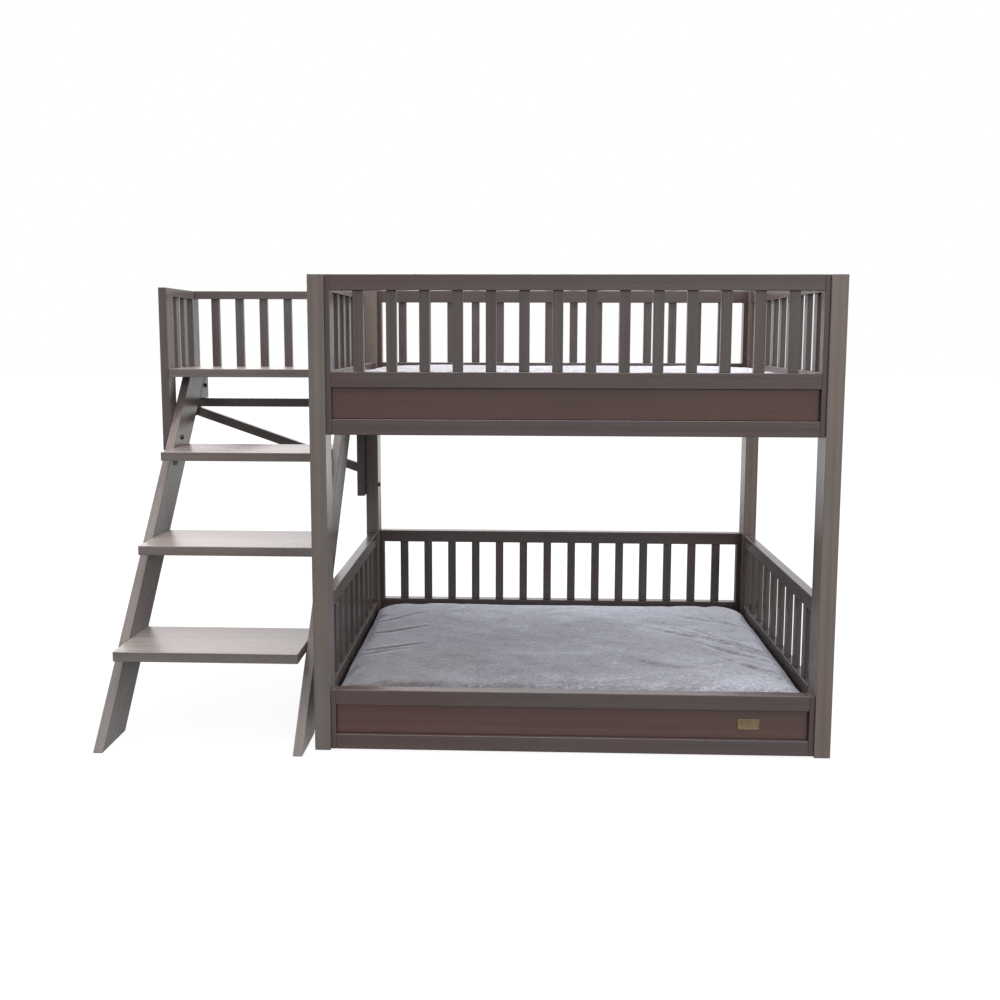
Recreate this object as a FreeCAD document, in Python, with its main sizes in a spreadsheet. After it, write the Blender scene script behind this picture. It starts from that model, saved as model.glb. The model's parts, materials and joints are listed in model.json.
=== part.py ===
import FreeCAD, Part
import os
import re
import Sketcher

# A pet-size bunk bed with a ladder and a landing at its left end.
#
# Frame: +Z up, +X to the right, +Y to the back, and the origin on the floor under
# the middle of the whole object.  The layout below is written from the middle of
# the bed's front face, and place() moves every piece over to the origin.

doc = FreeCAD.newDocument("bunk_bed_with_ladder")
Vector = FreeCAD.Vector
Rotation = FreeCAD.Rotation

# ---------------------------------------------------------------- driving sizes

SIZES = [
    # bed frame
    ("bed_width", 900.0),
    ("bed_depth", 548.0),
    ("bed_height", 834.0),
    ("post_width", 28.0),
    ("post_depth", 42.0),
    ("glide_height", 2.0),
    ("glide_radius", 9.0),
    ("edge_round", 1.2),
    # panels between the posts
    ("rail_thickness", 18.0),
    ("front_setback", 4.0),
    ("side_setback", 8.0),
    ("rail_height", 27.0),
    ("guard_rail_height", 27.0),
    ("stile_width", 9.0),
    ("fascia_height", 54.0),
    ("fascia_thickness", 8.0),
    ("fascia_recess", 7.0),
    ("slat_width", 18.0),
    ("slat_thickness", 10.0),
    ("slat_length", 137.0),
    ("front_slat_count", 14),
    ("side_slat_count", 8),
    ("entry_slat_count", 5),
    ("floor_gap", 3.0),
    # decks, bearers and cushions
    ("bearer_size", 18.0),
    ("cross_bearer_count", 3),
    ("deck_thickness", 12.0),
    ("deck_gap", 0.8),
    ("cushion_height", 65.0),
    ("cushion_side_gap", 6.0),
    ("cushion_rest_gap", 0.4),
    ("cushion_corner", 55.0),
    ("cushion_edge", 20.0),
    # ladder
    ("ladder_clear_width", 336.0),
    ("stringer_thickness", 17.0),
    ("stringer_foot", 87.0),
    ("ladder_foot_reach", 370.0),
    ("step_rise", 165.0),
    ("step_run", 114.0),
    ("tread_thickness", 18.0),
    ("tread_depth", 136.0),
    ("tread_front_overhang", 65.0),
    ("tread_end_gap", 0.4),
    # landing
    ("bed_side_gap", 0.5),
    ("landing_from_back", 22.0),
    ("landing_depth", 178.0),
    ("landing_board", 17.5),
    ("landing_post_width", 17.0),
    ("landing_post_depth", 36.0),
    ("landing_rail_height", 18.0),
    ("landing_drop", 3.0),
    ("landing_back_slat_count", 6),
    ("landing_side_slat_count", 2),
    ("landing_front_post_low", 486.0),
    ("landing_left_post_low", 547.0),
    ("landing_right_post_low", 363.0),
    ("notch_gap", 0.5),
    ("tie_height", 19.0),
    ("tie_top", 586.5),
    ("brace_thickness", 12.0),
    ("brace_height", 21.0),
    ("brace_fall", 129.0),
    # fasteners
    ("bolt_radius", 3.0),
    ("bolt_head_radius", 6.0),
    ("bolt_head_height", 3.5),
    ("frame_bolt_length", 62.0),
    ("bore_clearance", 0.15),
    ("cap_nut_radius", 5.5),
    ("cap_nut_height", 4.5),
    ("cap_nut_wall", 1.4),
    ("landing_bolt_low", 386.0),
    ("landing_bolt_high", 540.0),
    ("gusset_bolt_height", 616.0),
    ("stringer_bolt_inset", 34.0),
    ("bracket_leg", 20.0),
    ("bracket_width", 22.0),
    ("bracket_steel", 2.0),
    ("bracket_from_front", 14.0),
    ("screw_radius", 1.8),
    ("screw_length", 12.0),
    ("screw_head_radius", 3.6),
    ("screw_head_height", 1.6),
    # blank name plate on the lower front fascia
    ("plate_width", 38.0),
    ("plate_height", 19.0),
    ("plate_thickness", 1.4),
    ("plate_from_right", 140.0),
]

sheet = doc.addObject("Spreadsheet::Sheet", "sizes")
for row_number, (size_name, size_value) in enumerate(SIZES, start=1):
    sheet.set("A%d" % row_number, size_name)
    sheet.set("B%d" % row_number, str(size_value))
    sheet.setAlias("B%d" % row_number, size_name)
doc.recompute()

ALIAS = re.compile(r"\b(" + "|".join(sorted((s[0] for s in SIZES), key=len, reverse=True)) + r")\b")


def formula(text):
    """A document expression in which each size name reads its cell in the sheet."""
    return ALIAS.sub(r"sizes.\1", "(" + str(text) + ")")


def bind(thing, prop, text):
    thing.setExpression(prop, formula(text))


def minus(first, second):
    return "(%s) - (%s)" % (first, second)


def plus(*terms):
    return " + ".join("(%s)" % term for term in terms)


def times(first, second):
    return "(%s) * (%s)" % (first, second)


def over(first, second):
    return "(%s) / (%s)" % (first, second)


# ------------------------------------------------------------ derived distances

HALF_WIDTH = "bed_width / 2"
POST_INNER = "bed_width / 2 - post_width"
SIDE_OUTER = minus(HALF_WIDTH, "side_setback")
SIDE_INNER = minus(SIDE_OUTER, "rail_thickness")
BAY_HALF = "min(%s; %s)" % (POST_INNER, SIDE_INNER)
FRONT_INNER = "front_setback + rail_thickness"
BACK_INNER = "bed_depth - front_setback - rail_thickness"
BACK_OUTER = "bed_depth - front_setback"

UPPER_MID_TOP = "bed_height - rail_height - slat_length"
UPPER_MID_LOW = minus(UPPER_MID_TOP, "rail_height")
UPPER_FASCIA_LOW = minus(UPPER_MID_LOW, "fascia_height")
UPPER_LOW = minus(UPPER_FASCIA_LOW, "rail_height")

LOWER_LOW = "floor_gap"
LOWER_FASCIA_LOW = "floor_gap + rail_height"
LOWER_MID_LOW = "floor_gap + rail_height + fascia_height"
LOWER_MID_TOP = "floor_gap + 2 * rail_height + fascia_height"
LOWER_GUARD_LOW = plus(LOWER_MID_TOP, "slat_length")
LOWER_TOP = plus(LOWER_GUARD_LOW, "guard_rail_height")

UPPER_DECK_LOW = UPPER_FASCIA_LOW
LOWER_DECK_LOW = "floor_gap + rail_height"

# the ladder stands in the strip between the bed's side and its own left stringer
RIGHT_POST_OUTER = "-bed_width / 2 - bed_side_gap"
RIGHT_POST_INNER = minus(RIGHT_POST_OUTER, "landing_post_width")
RIGHT_STRINGER_INNER = minus(RIGHT_POST_INNER, "stringer_thickness")
LEFT_STRINGER_INNER = minus(RIGHT_STRINGER_INNER, "ladder_clear_width")
LEFT_POST_INNER = minus(LEFT_STRINGER_INNER, "stringer_thickness")
LEFT_POST_OUTER = minus(LEFT_POST_INNER, "landing_post_width")

LANDING_TOP = "4 * step_rise"
LANDING_UNDER = "4 * step_rise - landing_board"
LANDING_BACK = "bed_depth - landing_from_back"
LANDING_FRONT = minus(LANDING_BACK, "landing_depth")
LANDING_RAIL_TOP = "bed_height - landing_drop"
LANDING_RAIL_LOW = "bed_height - landing_drop - landing_rail_height"
BACK_POST_FRONT = minus(LANDING_BACK, "landing_post_depth")
BACK_POST_MIDDLE = minus(LANDING_BACK, "landing_post_depth / 2")
FRONT_POST_BACK = plus(LANDING_FRONT, "landing_post_depth")
FRONT_POST_MIDDLE = plus(LANDING_FRONT, "landing_post_depth / 2")

# how far back the stringers stand at the floor, counted from the bed's front face
LADDER_FOOT = minus(LANDING_FRONT, "ladder_foot_reach")

# the eased tip of the stringers' sharp foot stops a little short of the sawn corner
FOOT_TIP = plus("edge_round * ((sqrt(step_rise ^ 2 + step_run ^ 2) + step_run) / step_rise - 1)",
                LADDER_FOOT)
CENTRE_ACROSS = over(plus(LEFT_POST_OUTER, "-bolt_head_height", HALF_WIDTH), 2)
CENTRE_BACK = over(plus(FOOT_TIP, "bed_depth"), 2)


def stringer_front(height):
    """How far back the stringer's front edge is at a height."""
    return plus(LADDER_FOOT, over(times(height, "step_run"), "step_rise"))


def stringer_rear(height):
    return plus(stringer_front(height), "stringer_foot")


# --------------------------------------------------------------- ways of making

nodes = []


def node(thing, label):
    """Names a finished sub-part and puts it on the list that is written out."""
    thing.Label = label
    nodes.append(thing)
    return thing


def place(thing, low):
    """Sets a piece's low corner, given from the middle of the bed's front face."""
    across, back, up = low
    bind(thing, "Placement.Base.x", minus(across, CENTRE_ACROSS))
    bind(thing, "Placement.Base.y", minus(back, CENTRE_BACK))
    bind(thing, "Placement.Base.z", up)


def origin_axis(body, role):
    return next(part for part in body.Origin.OriginFeatures if part.Role == role)


def round_edges(body, base, radius="edge_round"):
    rounding = body.newObject("PartDesign::Fillet", body.Name + "_rounding")
    rounding.Base = (base, [""])
    rounding.UseAllEdges = True
    bind(rounding, "Radius", radius)
    base.Visibility = False
    return rounding


def board(name, low, size, repeat=None, rounded=True):
    """A sawn board with eased edges.  low is its low corner and size its three
    lengths.  repeat, (axis, count, pitch), makes a row of separate boards."""
    body = doc.addObject("PartDesign::Body", name)
    block = body.newObject("PartDesign::AdditiveBox", name + "_block")
    for prop, text in zip(("Length", "Width", "Height"), size):
        bind(block, prop, text)
    last = block
    if rounded:
        last = round_edges(body, last)
    if repeat:
        axis, count, pitch = repeat
        last = row_of(body, name, [block, last] if rounded else [block], axis, count, pitch)
    body.Tip = last
    place(body, low)
    return body


def row_of(body, name, originals, axis, count, pitch):
    row = body.newObject("PartDesign::LinearPattern", name + "_row")
    row.Originals = originals
    row.Direction = (origin_axis(body, axis + "_Axis"), [""])
    bind(row, "Occurrences", count)
    bind(row, "Length", times(pitch, minus(count, 1)))
    return row


def group(name, members):
    """Separate solids that share one node."""
    bundle = doc.addObject("Part::Compound", name)
    bundle.Links = members
    return bundle


def drilled(name, base, bores):
    """base with a group of bores cut out of it."""
    cut = doc.addObject("Part::Cut", name)
    cut.Base = base
    cut.Tool = bores
    return cut


AXIS_TURN = {
    "+X": Rotation(Vector(0, 1, 0), 90),
    "-X": Rotation(Vector(0, 1, 0), -90),
    "+Z": Rotation(),
}


def cylinder(name, start, axis, radius, length):
    """A bore or pin that starts at a point and runs along an axis."""
    round_bar = doc.addObject("Part::Cylinder", name)
    round_bar.Placement = FreeCAD.Placement(Vector(), AXIS_TURN[axis])
    bind(round_bar, "Radius", radius)
    bind(round_bar, "Height", length)
    place(round_bar, start)
    return round_bar


def headed(name, start, axis, shank, head):
    """A bolt or screw: start is the middle of the face that its head bears on."""
    body = doc.addObject("PartDesign::Body", name)
    stem = body.newObject("PartDesign::AdditiveCylinder", name + "_shank")
    bind(stem, "Radius", shank[0])
    bind(stem, "Height", shank[1])
    cap = body.newObject("PartDesign::AdditiveCylinder", name + "_head")
    bind(cap, "Radius", head[0])
    bind(cap, "Height", head[1])
    bind(cap, "Placement.Base.z", "-(%s)" % head[1])
    body.Tip = cap
    body.Placement = FreeCAD.Placement(Vector(), AXIS_TURN[axis])
    place(body, start)
    return body


def size_of(text):
    """The present length of a formula, to start a sketch near its final shape."""
    return float(sheet.evalExpression(formula(text)))


def outline(name, plane, points, depth, low):
    """A board sawn to an outline.  points are (across, up) on the plane, and depth
    is the board's thickness along the plane's normal."""
    body = doc.addObject("PartDesign::Body", name)
    sketch = body.newObject("Sketcher::SketchObject", name + "_outline")
    sketch.AttachmentSupport = [(origin_axis(body, plane), "")]
    sketch.MapMode = "FlatFace"
    corners = [Vector(size_of(across), size_of(up), 0) for across, up in points]
    count = len(corners)
    for index, corner in enumerate(corners):
        sketch.addGeometry(Part.LineSegment(corner, corners[(index + 1) % count]), False)
    for index in range(count):
        sketch.addConstraint(Sketcher.Constraint("Coincident", index, 2, (index + 1) % count, 1))
    for index, (across, up) in enumerate(points):
        pin_corner(sketch, index, "DistanceX", "across_%d" % index, across, corners[index].x)
        pin_corner(sketch, index, "DistanceY", "up_%d" % index, up, corners[index].y)
    pad = body.newObject("PartDesign::Pad", name + "_pad")
    pad.Profile = sketch
    bind(pad, "Length", depth)
    body.Tip = round_edges(body, pad)
    place(body, low)
    return body


def pin_corner(sketch, index, kind, label, text, length):
    """Holds a sketch corner at a distance from the sketch's own origin."""
    number = sketch.addConstraint(Sketcher.Constraint(kind, -1, 1, index, 1, length))
    sketch.renameConstraint(number, label)
    bind(sketch, "Constraints." + label, text)


def edges_where(shape, test):
    return ["Edge%d" % number for number, edge in enumerate(shape.Edges, start=1) if test(edge)]


def is_upright(edge):
    low, high = edge.BoundBox.ZMin, edge.BoundBox.ZMax
    return high - low > 1.0


def is_level(edge):
    return edge.BoundBox.ZLength < 0.01


def cushion(name, low, size):
    """A filled pad with round corners and a full edge."""
    body = doc.addObject("PartDesign::Body", name)
    block = body.newObject("PartDesign::AdditiveBox", name + "_block")
    for prop, text in zip(("Length", "Width", "Height"), size):
        bind(block, prop, text)
    doc.recompute()
    corners = body.newObject("PartDesign::Fillet", name + "_corners")
    corners.Base = (block, edges_where(block.Shape, is_upright))
    bind(corners, "Radius", "cushion_corner")
    doc.recompute()
    rim = body.newObject("PartDesign::Fillet", name + "_rim")
    rim.Base = (corners, edges_where(corners.Shape, is_level))
    bind(rim, "Radius", "cushion_edge")
    body.Tip = rim
    place(body, low)
    return body


# ------------------------------------------------------------------- frame bolts

BOLT_ROWS = {
    "upper_top": "bed_height - rail_height / 2",
    "upper_low": plus(UPPER_LOW, "rail_height / 2"),
    "lower_mid": plus(LOWER_MID_LOW, "rail_height / 2"),
    "lower_low": "floor_gap + rail_height / 2",
}
FRONT_LINE = "front_setback + rail_thickness / 2"
BACK_LINE = "bed_depth - front_setback - rail_thickness / 2"
CORNERS = [("left", "front"), ("right", "front"), ("left", "back"), ("right", "back")]


def frame_bolt_spots():
    """Name, direction and head seat of every bolt that holds a rail to a post."""
    for side, face in CORNERS:
        line = FRONT_LINE if face == "front" else BACK_LINE
        seat = "bed_width / 2 - bolt_head_height"
        for row, height in BOLT_ROWS.items():
            spot = ("-(%s)" % seat if side == "left" else seat, line, height)
            yield "%s_%s_%s" % (face, side, row), "+X" if side == "left" else "-X", spot


BOLT_BORE = "bolt_radius + bore_clearance"
frame_bores = []
frame_bolt_bodies = []
for bolt_name, direction, seat_spot in frame_bolt_spots():
    bore_length = "frame_bolt_length + bore_clearance"
    frame_bores.append(cylinder(bolt_name + "_bore", seat_spot, direction, BOLT_BORE, bore_length))
    outer = ("-bed_width / 2" if direction == "+X" else "bed_width / 2",) + seat_spot[1:]
    frame_bores.append(cylinder(bolt_name + "_counterbore", outer, direction,
                                "bolt_head_radius + bore_clearance", "bolt_head_height"))
    frame_bolt_bodies.append(headed(bolt_name + "_bolt", seat_spot, direction,
                                    ("bolt_radius", "frame_bolt_length"),
                                    ("bolt_head_radius", "bolt_head_height")))
frame_bore_group = group("frame_bolt_bores", frame_bores)

# ------------------------------------------------------------------ landing bolts

POST_OVERLAP_LINE = over(plus(LANDING_BACK, "bed_depth - post_depth"), 2)
WOOD_PAIR = "landing_post_width + stringer_thickness"
BED_PAIR = "landing_post_width + bed_side_gap + post_width"
# the height at which the stringer's front edge is the inset in front of the bolt
STRINGER_BOLT_HEIGHT = over(times(minus(FRONT_POST_MIDDLE, plus(LADDER_FOOT, "stringer_bolt_inset")),
                                  "step_rise"), "step_run")
LANDING_BOLTS = [
    # name, seat, length in wood, whether a cap nut closes the far end
    ("stringer", (LEFT_POST_OUTER, FRONT_POST_MIDDLE, STRINGER_BOLT_HEIGHT), WOOD_PAIR, True),
    ("left_gusset", (LEFT_POST_OUTER, BACK_POST_MIDDLE, "gusset_bolt_height"), WOOD_PAIR, True),
    ("right_gusset", (RIGHT_STRINGER_INNER, BACK_POST_MIDDLE, "gusset_bolt_height"), WOOD_PAIR, False),
    ("bed_low", (RIGHT_POST_INNER, POST_OVERLAP_LINE, "landing_bolt_low"), BED_PAIR, True),
    ("bed_high", (RIGHT_POST_INNER, POST_OVERLAP_LINE, "landing_bolt_high"), BED_PAIR, True),
]


def cap_nut(name, spot):
    """A domed nut's plain barrel, with a blind hole for the end of its bolt."""
    body = doc.addObject("PartDesign::Body", name)
    barrel = body.newObject("PartDesign::AdditiveCylinder", name + "_barrel")
    bind(barrel, "Radius", "cap_nut_radius")
    bind(barrel, "Height", "cap_nut_height")
    hole = body.newObject("PartDesign::SubtractiveCylinder", name + "_hole")
    bind(hole, "Radius", BOLT_BORE)
    bind(hole, "Height", "cap_nut_height - cap_nut_wall")
    body.Tip = hole
    body.Placement = FreeCAD.Placement(Vector(), AXIS_TURN["+X"])
    place(body, spot)
    return body


landing_bores = []
landing_bolt_bodies = []
cap_nut_bodies = []
for bolt_name, seat_spot, grip, has_nut in LANDING_BOLTS:
    landing_bores.append(cylinder(bolt_name + "_bore", seat_spot, "+X", BOLT_BORE, grip))
    shank_end = "cap_nut_height - cap_nut_wall - bore_clearance" if has_nut else "0"
    landing_bolt_bodies.append(headed(bolt_name + "_bolt", seat_spot, "+X",
                                      ("bolt_radius", plus(grip, shank_end)),
                                      ("bolt_head_radius", "bolt_head_height")))
    if has_nut:
        far_face = (plus(seat_spot[0], grip),) + seat_spot[1:]
        cap_nut_bodies.append(cap_nut(bolt_name + "_nut", far_face))
landing_bore_group = group("landing_bolt_bores", landing_bores)

# --------------------------------------------------------------------- bed posts

for side, face in CORNERS:
    post_name = "%s_%s_post" % (face, side)
    across = "-bed_width / 2" if side == "left" else POST_INNER
    back = "0" if face == "front" else "bed_depth - post_depth"
    post = board(post_name + "_blank", (across, back, "glide_height"),
                 ("post_width", "post_depth", "bed_height - glide_height"))
    post = drilled(post_name + "_drilled", post, frame_bore_group)
    if post_name == "back_left_post":
        post = drilled(post_name + "_bolted", post, landing_bore_group)
    node(post, post_name)

glides = []
for side, face in CORNERS:
    sign = "-1" if side == "left" else "1"
    line = "post_depth / 2" if face == "front" else "bed_depth - post_depth / 2"
    spot = (times(sign, "bed_width / 2 - post_width / 2"), line, "0")
    glides.append(cylinder("%s_%s_glide" % (face, side), spot, "+Z", "glide_radius", "glide_height"))
node(group("foot_glides_group", glides), "foot_glides")

# ------------------------------------------------------- front and back panels

BETWEEN_POSTS = "bed_width - 2 * post_width"
BETWEEN_STILES = "bed_width - 2 * post_width - 2 * stile_width"
FRONT_PITCH = over(plus(BETWEEN_STILES, "slat_width"), "front_slat_count + 1")
LEFT_OF_RAILS = minus("stile_width", POST_INNER)
SLAT_INSET = "(rail_thickness - slat_thickness) / 2"
RAIL_RISE = "rail_height + fascia_height"


def cross_panel(level, face, fascia_low, slats):
    """Rails, fascia and slats that run left to right between two posts."""
    name = "%s_%s" % (level, face)
    low_rail = minus(fascia_low, "rail_height")
    back = "front_setback" if face == "front" else BACK_INNER
    fascia_back = plus("front_setback", "fascia_recess")
    if face == "back":
        fascia_back = minus(BACK_OUTER, "fascia_recess + fascia_thickness")
    rails = board(name + "_rail_pair", (LEFT_OF_RAILS, back, low_rail),
                  (BETWEEN_STILES, "rail_thickness", "rail_height"), ("Z", "2", RAIL_RISE))
    node(drilled(name + "_rails_drilled", rails, frame_bore_group), name + "_fascia_rails")
    node(board(name + "_fascia_board", (LEFT_OF_RAILS, fascia_back, fascia_low),
               (BETWEEN_STILES, "fascia_thickness", "fascia_height")), name + "_fascia")
    if not slats:
        return
    rail_top = plus(fascia_low, RAIL_RISE)
    first = minus(plus(LEFT_OF_RAILS, FRONT_PITCH), "slat_width")
    node(board(name + "_slat_row", (first, plus(back, SLAT_INSET), rail_top),
               ("slat_width", "slat_thickness", "slat_length"),
               ("X", "front_slat_count", FRONT_PITCH)), name + "_slats")
    top_height = "rail_height" if level == "upper" else "guard_rail_height"
    top = board(name + "_top_board", (LEFT_OF_RAILS, back, plus(rail_top, "slat_length")),
                (BETWEEN_STILES, "rail_thickness", top_height))
    node(drilled(name + "_top_drilled", top, frame_bore_group), name + "_top_rail")


cross_panel("upper", "front", UPPER_FASCIA_LOW, True)
cross_panel("upper", "back", UPPER_FASCIA_LOW, True)
cross_panel("lower", "front", LOWER_FASCIA_LOW, False)
cross_panel("lower", "back", LOWER_FASCIA_LOW, True)

# ------------------------------------------------------------------- side panels

SIDE_FRONT = "post_depth + stile_width"
SIDE_SPAN = "bed_depth - 2 * post_depth - 2 * stile_width"
SIDE_PITCH = over(plus(SIDE_SPAN, "slat_width"), "side_slat_count + 1")
ENTRY_SPAN = minus(LANDING_FRONT, "post_depth + 2 * stile_width")
ENTRY_PITCH = over(plus(ENTRY_SPAN, "slat_width"), "entry_slat_count + 1")


def side_low(side):
    return "-(%s)" % SIDE_OUTER if side == "left" else SIDE_INNER


def side_rails(name, side, low_rail):
    return board(name, (side_low(side), SIDE_FRONT, low_rail),
                 ("rail_thickness", SIDE_SPAN, "rail_height"), ("Z", "2", RAIL_RISE))


def side_fascia(name, side, fascia_low):
    across = minus(SIDE_OUTER, "fascia_recess + fascia_thickness")
    if side == "left":
        across = "-(%s)" % minus(SIDE_OUTER, "fascia_recess")
    return board(name, (across, SIDE_FRONT, fascia_low),
                 ("fascia_thickness", SIDE_SPAN, "fascia_height"))


def side_slats(name, side, rail_top, count, pitch):
    first = minus(plus(SIDE_FRONT, pitch), "slat_width")
    return board(name, (plus(side_low(side), SLAT_INSET), first, rail_top),
                 ("slat_thickness", "slat_width", "slat_length"), ("Y", count, pitch))


def side_top(name, side, low, span, height):
    return board(name, (side_low(side), SIDE_FRONT, low), ("rail_thickness", span, height))


for side in ("left", "right"):
    panel = "upper_" + side
    open_side = side == "left"
    node(side_rails(panel + "_rail_pair", side, UPPER_LOW), panel + "_fascia_rails")
    node(side_fascia(panel + "_fascia_board", side, UPPER_FASCIA_LOW), panel + "_fascia")
    node(side_slats(panel + "_slat_row", side, UPPER_MID_TOP,
                    "entry_slat_count" if open_side else "side_slat_count",
                    ENTRY_PITCH if open_side else SIDE_PITCH), panel + "_slats")
    node(side_top(panel + "_top_board", side, "bed_height - rail_height",
                  ENTRY_SPAN if open_side else SIDE_SPAN, "rail_height"), panel + "_top_rail")

SIDES = ("left", "right")
node(group("lower_side_rail_group",
           [side_rails("lower_%s_rail_pair" % side, side, LOWER_LOW) for side in SIDES]),
     "lower_side_fascia_rails")
node(group("lower_side_fascia_group",
           [side_fascia("lower_%s_fascia_board" % side, side, LOWER_FASCIA_LOW) for side in SIDES]),
     "lower_side_fascias")
node(group("lower_side_slat_group",
           [side_slats("lower_%s_slat_row" % side, side, LOWER_MID_TOP, "side_slat_count", SIDE_PITCH)
            for side in SIDES]),
     "lower_side_slats")
node(group("lower_side_top_group",
           [side_top("lower_%s_top_board" % side, side, LOWER_GUARD_LOW, SIDE_SPAN,
                     "guard_rail_height") for side in SIDES]),
     "lower_side_top_rails")

# ------------------------------------------------------------------------ stiles


def cross_stiles(name, face, low, height):
    """The two narrow uprights at the ends of a front or back panel."""
    back = "front_setback" if face == "front" else BACK_INNER
    pair = board(name, ("-(%s)" % POST_INNER, back, low), ("stile_width", "rail_thickness", height),
                 ("X", "2", minus(BETWEEN_POSTS, "stile_width")))
    return drilled(name + "_drilled", pair, frame_bore_group)


def side_stile(name, side, back, low, height):
    return board(name, (side_low(side), back, low), ("rail_thickness", "stile_width", height))


def stiles_of_level(level, low, top, cross_heights):
    full = minus(top, low)
    pieces = [cross_stiles("%s_%s_stiles" % (level, face), face, low, height)
              for face, height in cross_heights.items()]
    back_end = "bed_depth - post_depth - stile_width"
    for side in SIDES:
        pieces.append(side_stile("%s_%s_front_stile" % (level, side), side, "post_depth", low, full))
        if level == "upper" and side == "left":
            # below the doorway this stile only reaches the top of the mid rail
            short = minus(UPPER_MID_TOP, low)
            pieces.append(side_stile("upper_left_back_stile", side, back_end, low, short))
        else:
            pieces.append(side_stile("%s_%s_back_stile" % (level, side), side, back_end, low, full))
    return pieces


UPPER_HEIGHT = minus("bed_height", UPPER_LOW)
LOWER_HEIGHT = minus(LOWER_TOP, LOWER_LOW)
LOWER_FRONT_HEIGHT = minus(LOWER_MID_TOP, LOWER_LOW)
upper_stiles = stiles_of_level("upper", UPPER_LOW, "bed_height",
                               {"front": UPPER_HEIGHT, "back": UPPER_HEIGHT})
upper_stiles.append(side_stile("doorway_stile", "left", minus(LANDING_FRONT, "stile_width"),
                               UPPER_MID_TOP, minus("bed_height", UPPER_MID_TOP)))
node(group("upper_stile_group", upper_stiles), "upper_stiles")
lower_stiles = stiles_of_level("lower", LOWER_LOW, LOWER_TOP,
                               {"front": LOWER_FRONT_HEIGHT, "back": LOWER_HEIGHT})
node(group("lower_stile_group", lower_stiles), "lower_stiles")

# ------------------------------------------------------- decks, bearers, cushions

DECK_HALF = minus(BAY_HALF, "deck_gap")
DECK_FRONT = plus(FRONT_INNER, "deck_gap")
DECK_SPAN = minus(BACK_INNER, plus(FRONT_INNER, "2 * deck_gap"))
BEARER_SPAN = minus(BACK_INNER, FRONT_INNER)
CROSS_PITCH = over(times("2", POST_INNER), "cross_bearer_count + 1")
CROSS_FIRST = "-(bed_width / 2 - post_width) - bearer_size / 2"


def deck(level, deck_low):
    """Two ledgers on the rails, cross bearers between them and the deck on top."""
    low = minus(deck_low, "bearer_size")
    between = minus(BEARER_SPAN, "2 * bearer_size")
    ledgers = board(level + "_ledgers", ("-(%s)" % DECK_HALF, FRONT_INNER, low),
                    (times("2", DECK_HALF), "bearer_size", "bearer_size"),
                    ("Y", "2", minus(BEARER_SPAN, "bearer_size")))
    crosses = board(level + "_crosses",
                    (plus(CROSS_FIRST, CROSS_PITCH), plus(FRONT_INNER, "bearer_size"), low),
                    ("bearer_size", between, "bearer_size"),
                    ("X", "cross_bearer_count", CROSS_PITCH))
    bearers.extend([ledgers, crosses])
    node(board(level + "_deck_board", ("-(%s)" % DECK_HALF, DECK_FRONT, deck_low),
               (times("2", DECK_HALF), DECK_SPAN, "deck_thickness")), level + "_deck")
    inset = "cushion_side_gap"
    node(cushion(level + "_pad", ("-(%s)" % minus(BAY_HALF, inset), plus(FRONT_INNER, inset),
                                  plus(deck_low, "deck_thickness + cushion_rest_gap")),
                 (minus(times("2", BAY_HALF), "2 * cushion_side_gap"),
                  minus(BEARER_SPAN, "2 * cushion_side_gap"), "cushion_height")),
         level + "_cushion")


bearers = []
deck("lower", LOWER_DECK_LOW)
deck("upper", UPPER_DECK_LOW)
node(group("bearer_group", bearers), "deck_bearers")

# ------------------------------------------------------------------------ ladder


def tread_top(step):
    return "%d * step_rise" % step


def tread_front(step):
    return minus(stringer_front(tread_top(step)), "tread_front_overhang")


TREAD_LEFT = plus(LEFT_STRINGER_INNER, "tread_end_gap")
TREAD_LENGTH = "ladder_clear_width - 2 * tread_end_gap"
STEPS = (1, 2, 3)


def bracket_spots():
    """Name, side, the corner under the tread and the middle of the bracket's width."""
    for step in STEPS:
        under = minus(tread_top(step), "tread_thickness")
        back = plus(stringer_front(under), "bracket_from_front")
        yield "step_%d_left" % step, "left", LEFT_STRINGER_INNER, back, under
        yield "step_%d_right" % step, "right", RIGHT_STRINGER_INNER, back, under


def bracket_screws(name, side, corner, back, under):
    """One screw up into the tread and one sideways into the stringer."""
    toward = "1" if side == "left" else "-1"
    middle = plus(back, "bracket_width / 2")
    reach = "bracket_leg * 0.6"
    yield name + "_tread", "+Z", (plus(corner, times(toward, reach)), middle,
                                  minus(under, "bracket_steel"))
    yield name + "_stringer", "-X" if side == "left" else "+X", (
        plus(corner, times(toward, "bracket_steel")), middle, minus(under, reach))


def bracket(name, side, corner, back, under, bores):
    """A bent steel angle that holds a tread's end to its stringer."""
    across = corner if side == "left" else minus(corner, "bracket_leg")
    wall = corner if side == "left" else minus(corner, "bracket_steel")
    flat = board(name + "_flat", (across, back, minus(under, "bracket_steel")),
                 ("bracket_leg", "bracket_width", "bracket_steel"), rounded=False)
    upright = board(name + "_upright", (wall, back, minus(under, "bracket_leg")),
                    ("bracket_steel", "bracket_width", "bracket_leg"), rounded=False)
    angle = doc.addObject("Part::Fuse", name + "_angle")
    angle.Base = flat
    angle.Tool = upright
    return drilled(name + "_drilled", angle, bores)


SCREW_BORE = "screw_radius + bore_clearance"
screw_bores = []
screw_bodies = []
for bracket_place in bracket_spots():
    for screw_name, direction, seat_spot in bracket_screws(*bracket_place):
        screw_bores.append(cylinder(screw_name + "_bore", seat_spot, direction, SCREW_BORE,
                                    "screw_length + bore_clearance"))
        screw_bodies.append(headed(screw_name + "_screw", seat_spot, direction,
                                   ("screw_radius", "screw_length"),
                                   ("screw_head_radius", "screw_head_height")))
screw_bore_group = group("tread_screw_bores", screw_bores)

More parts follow.
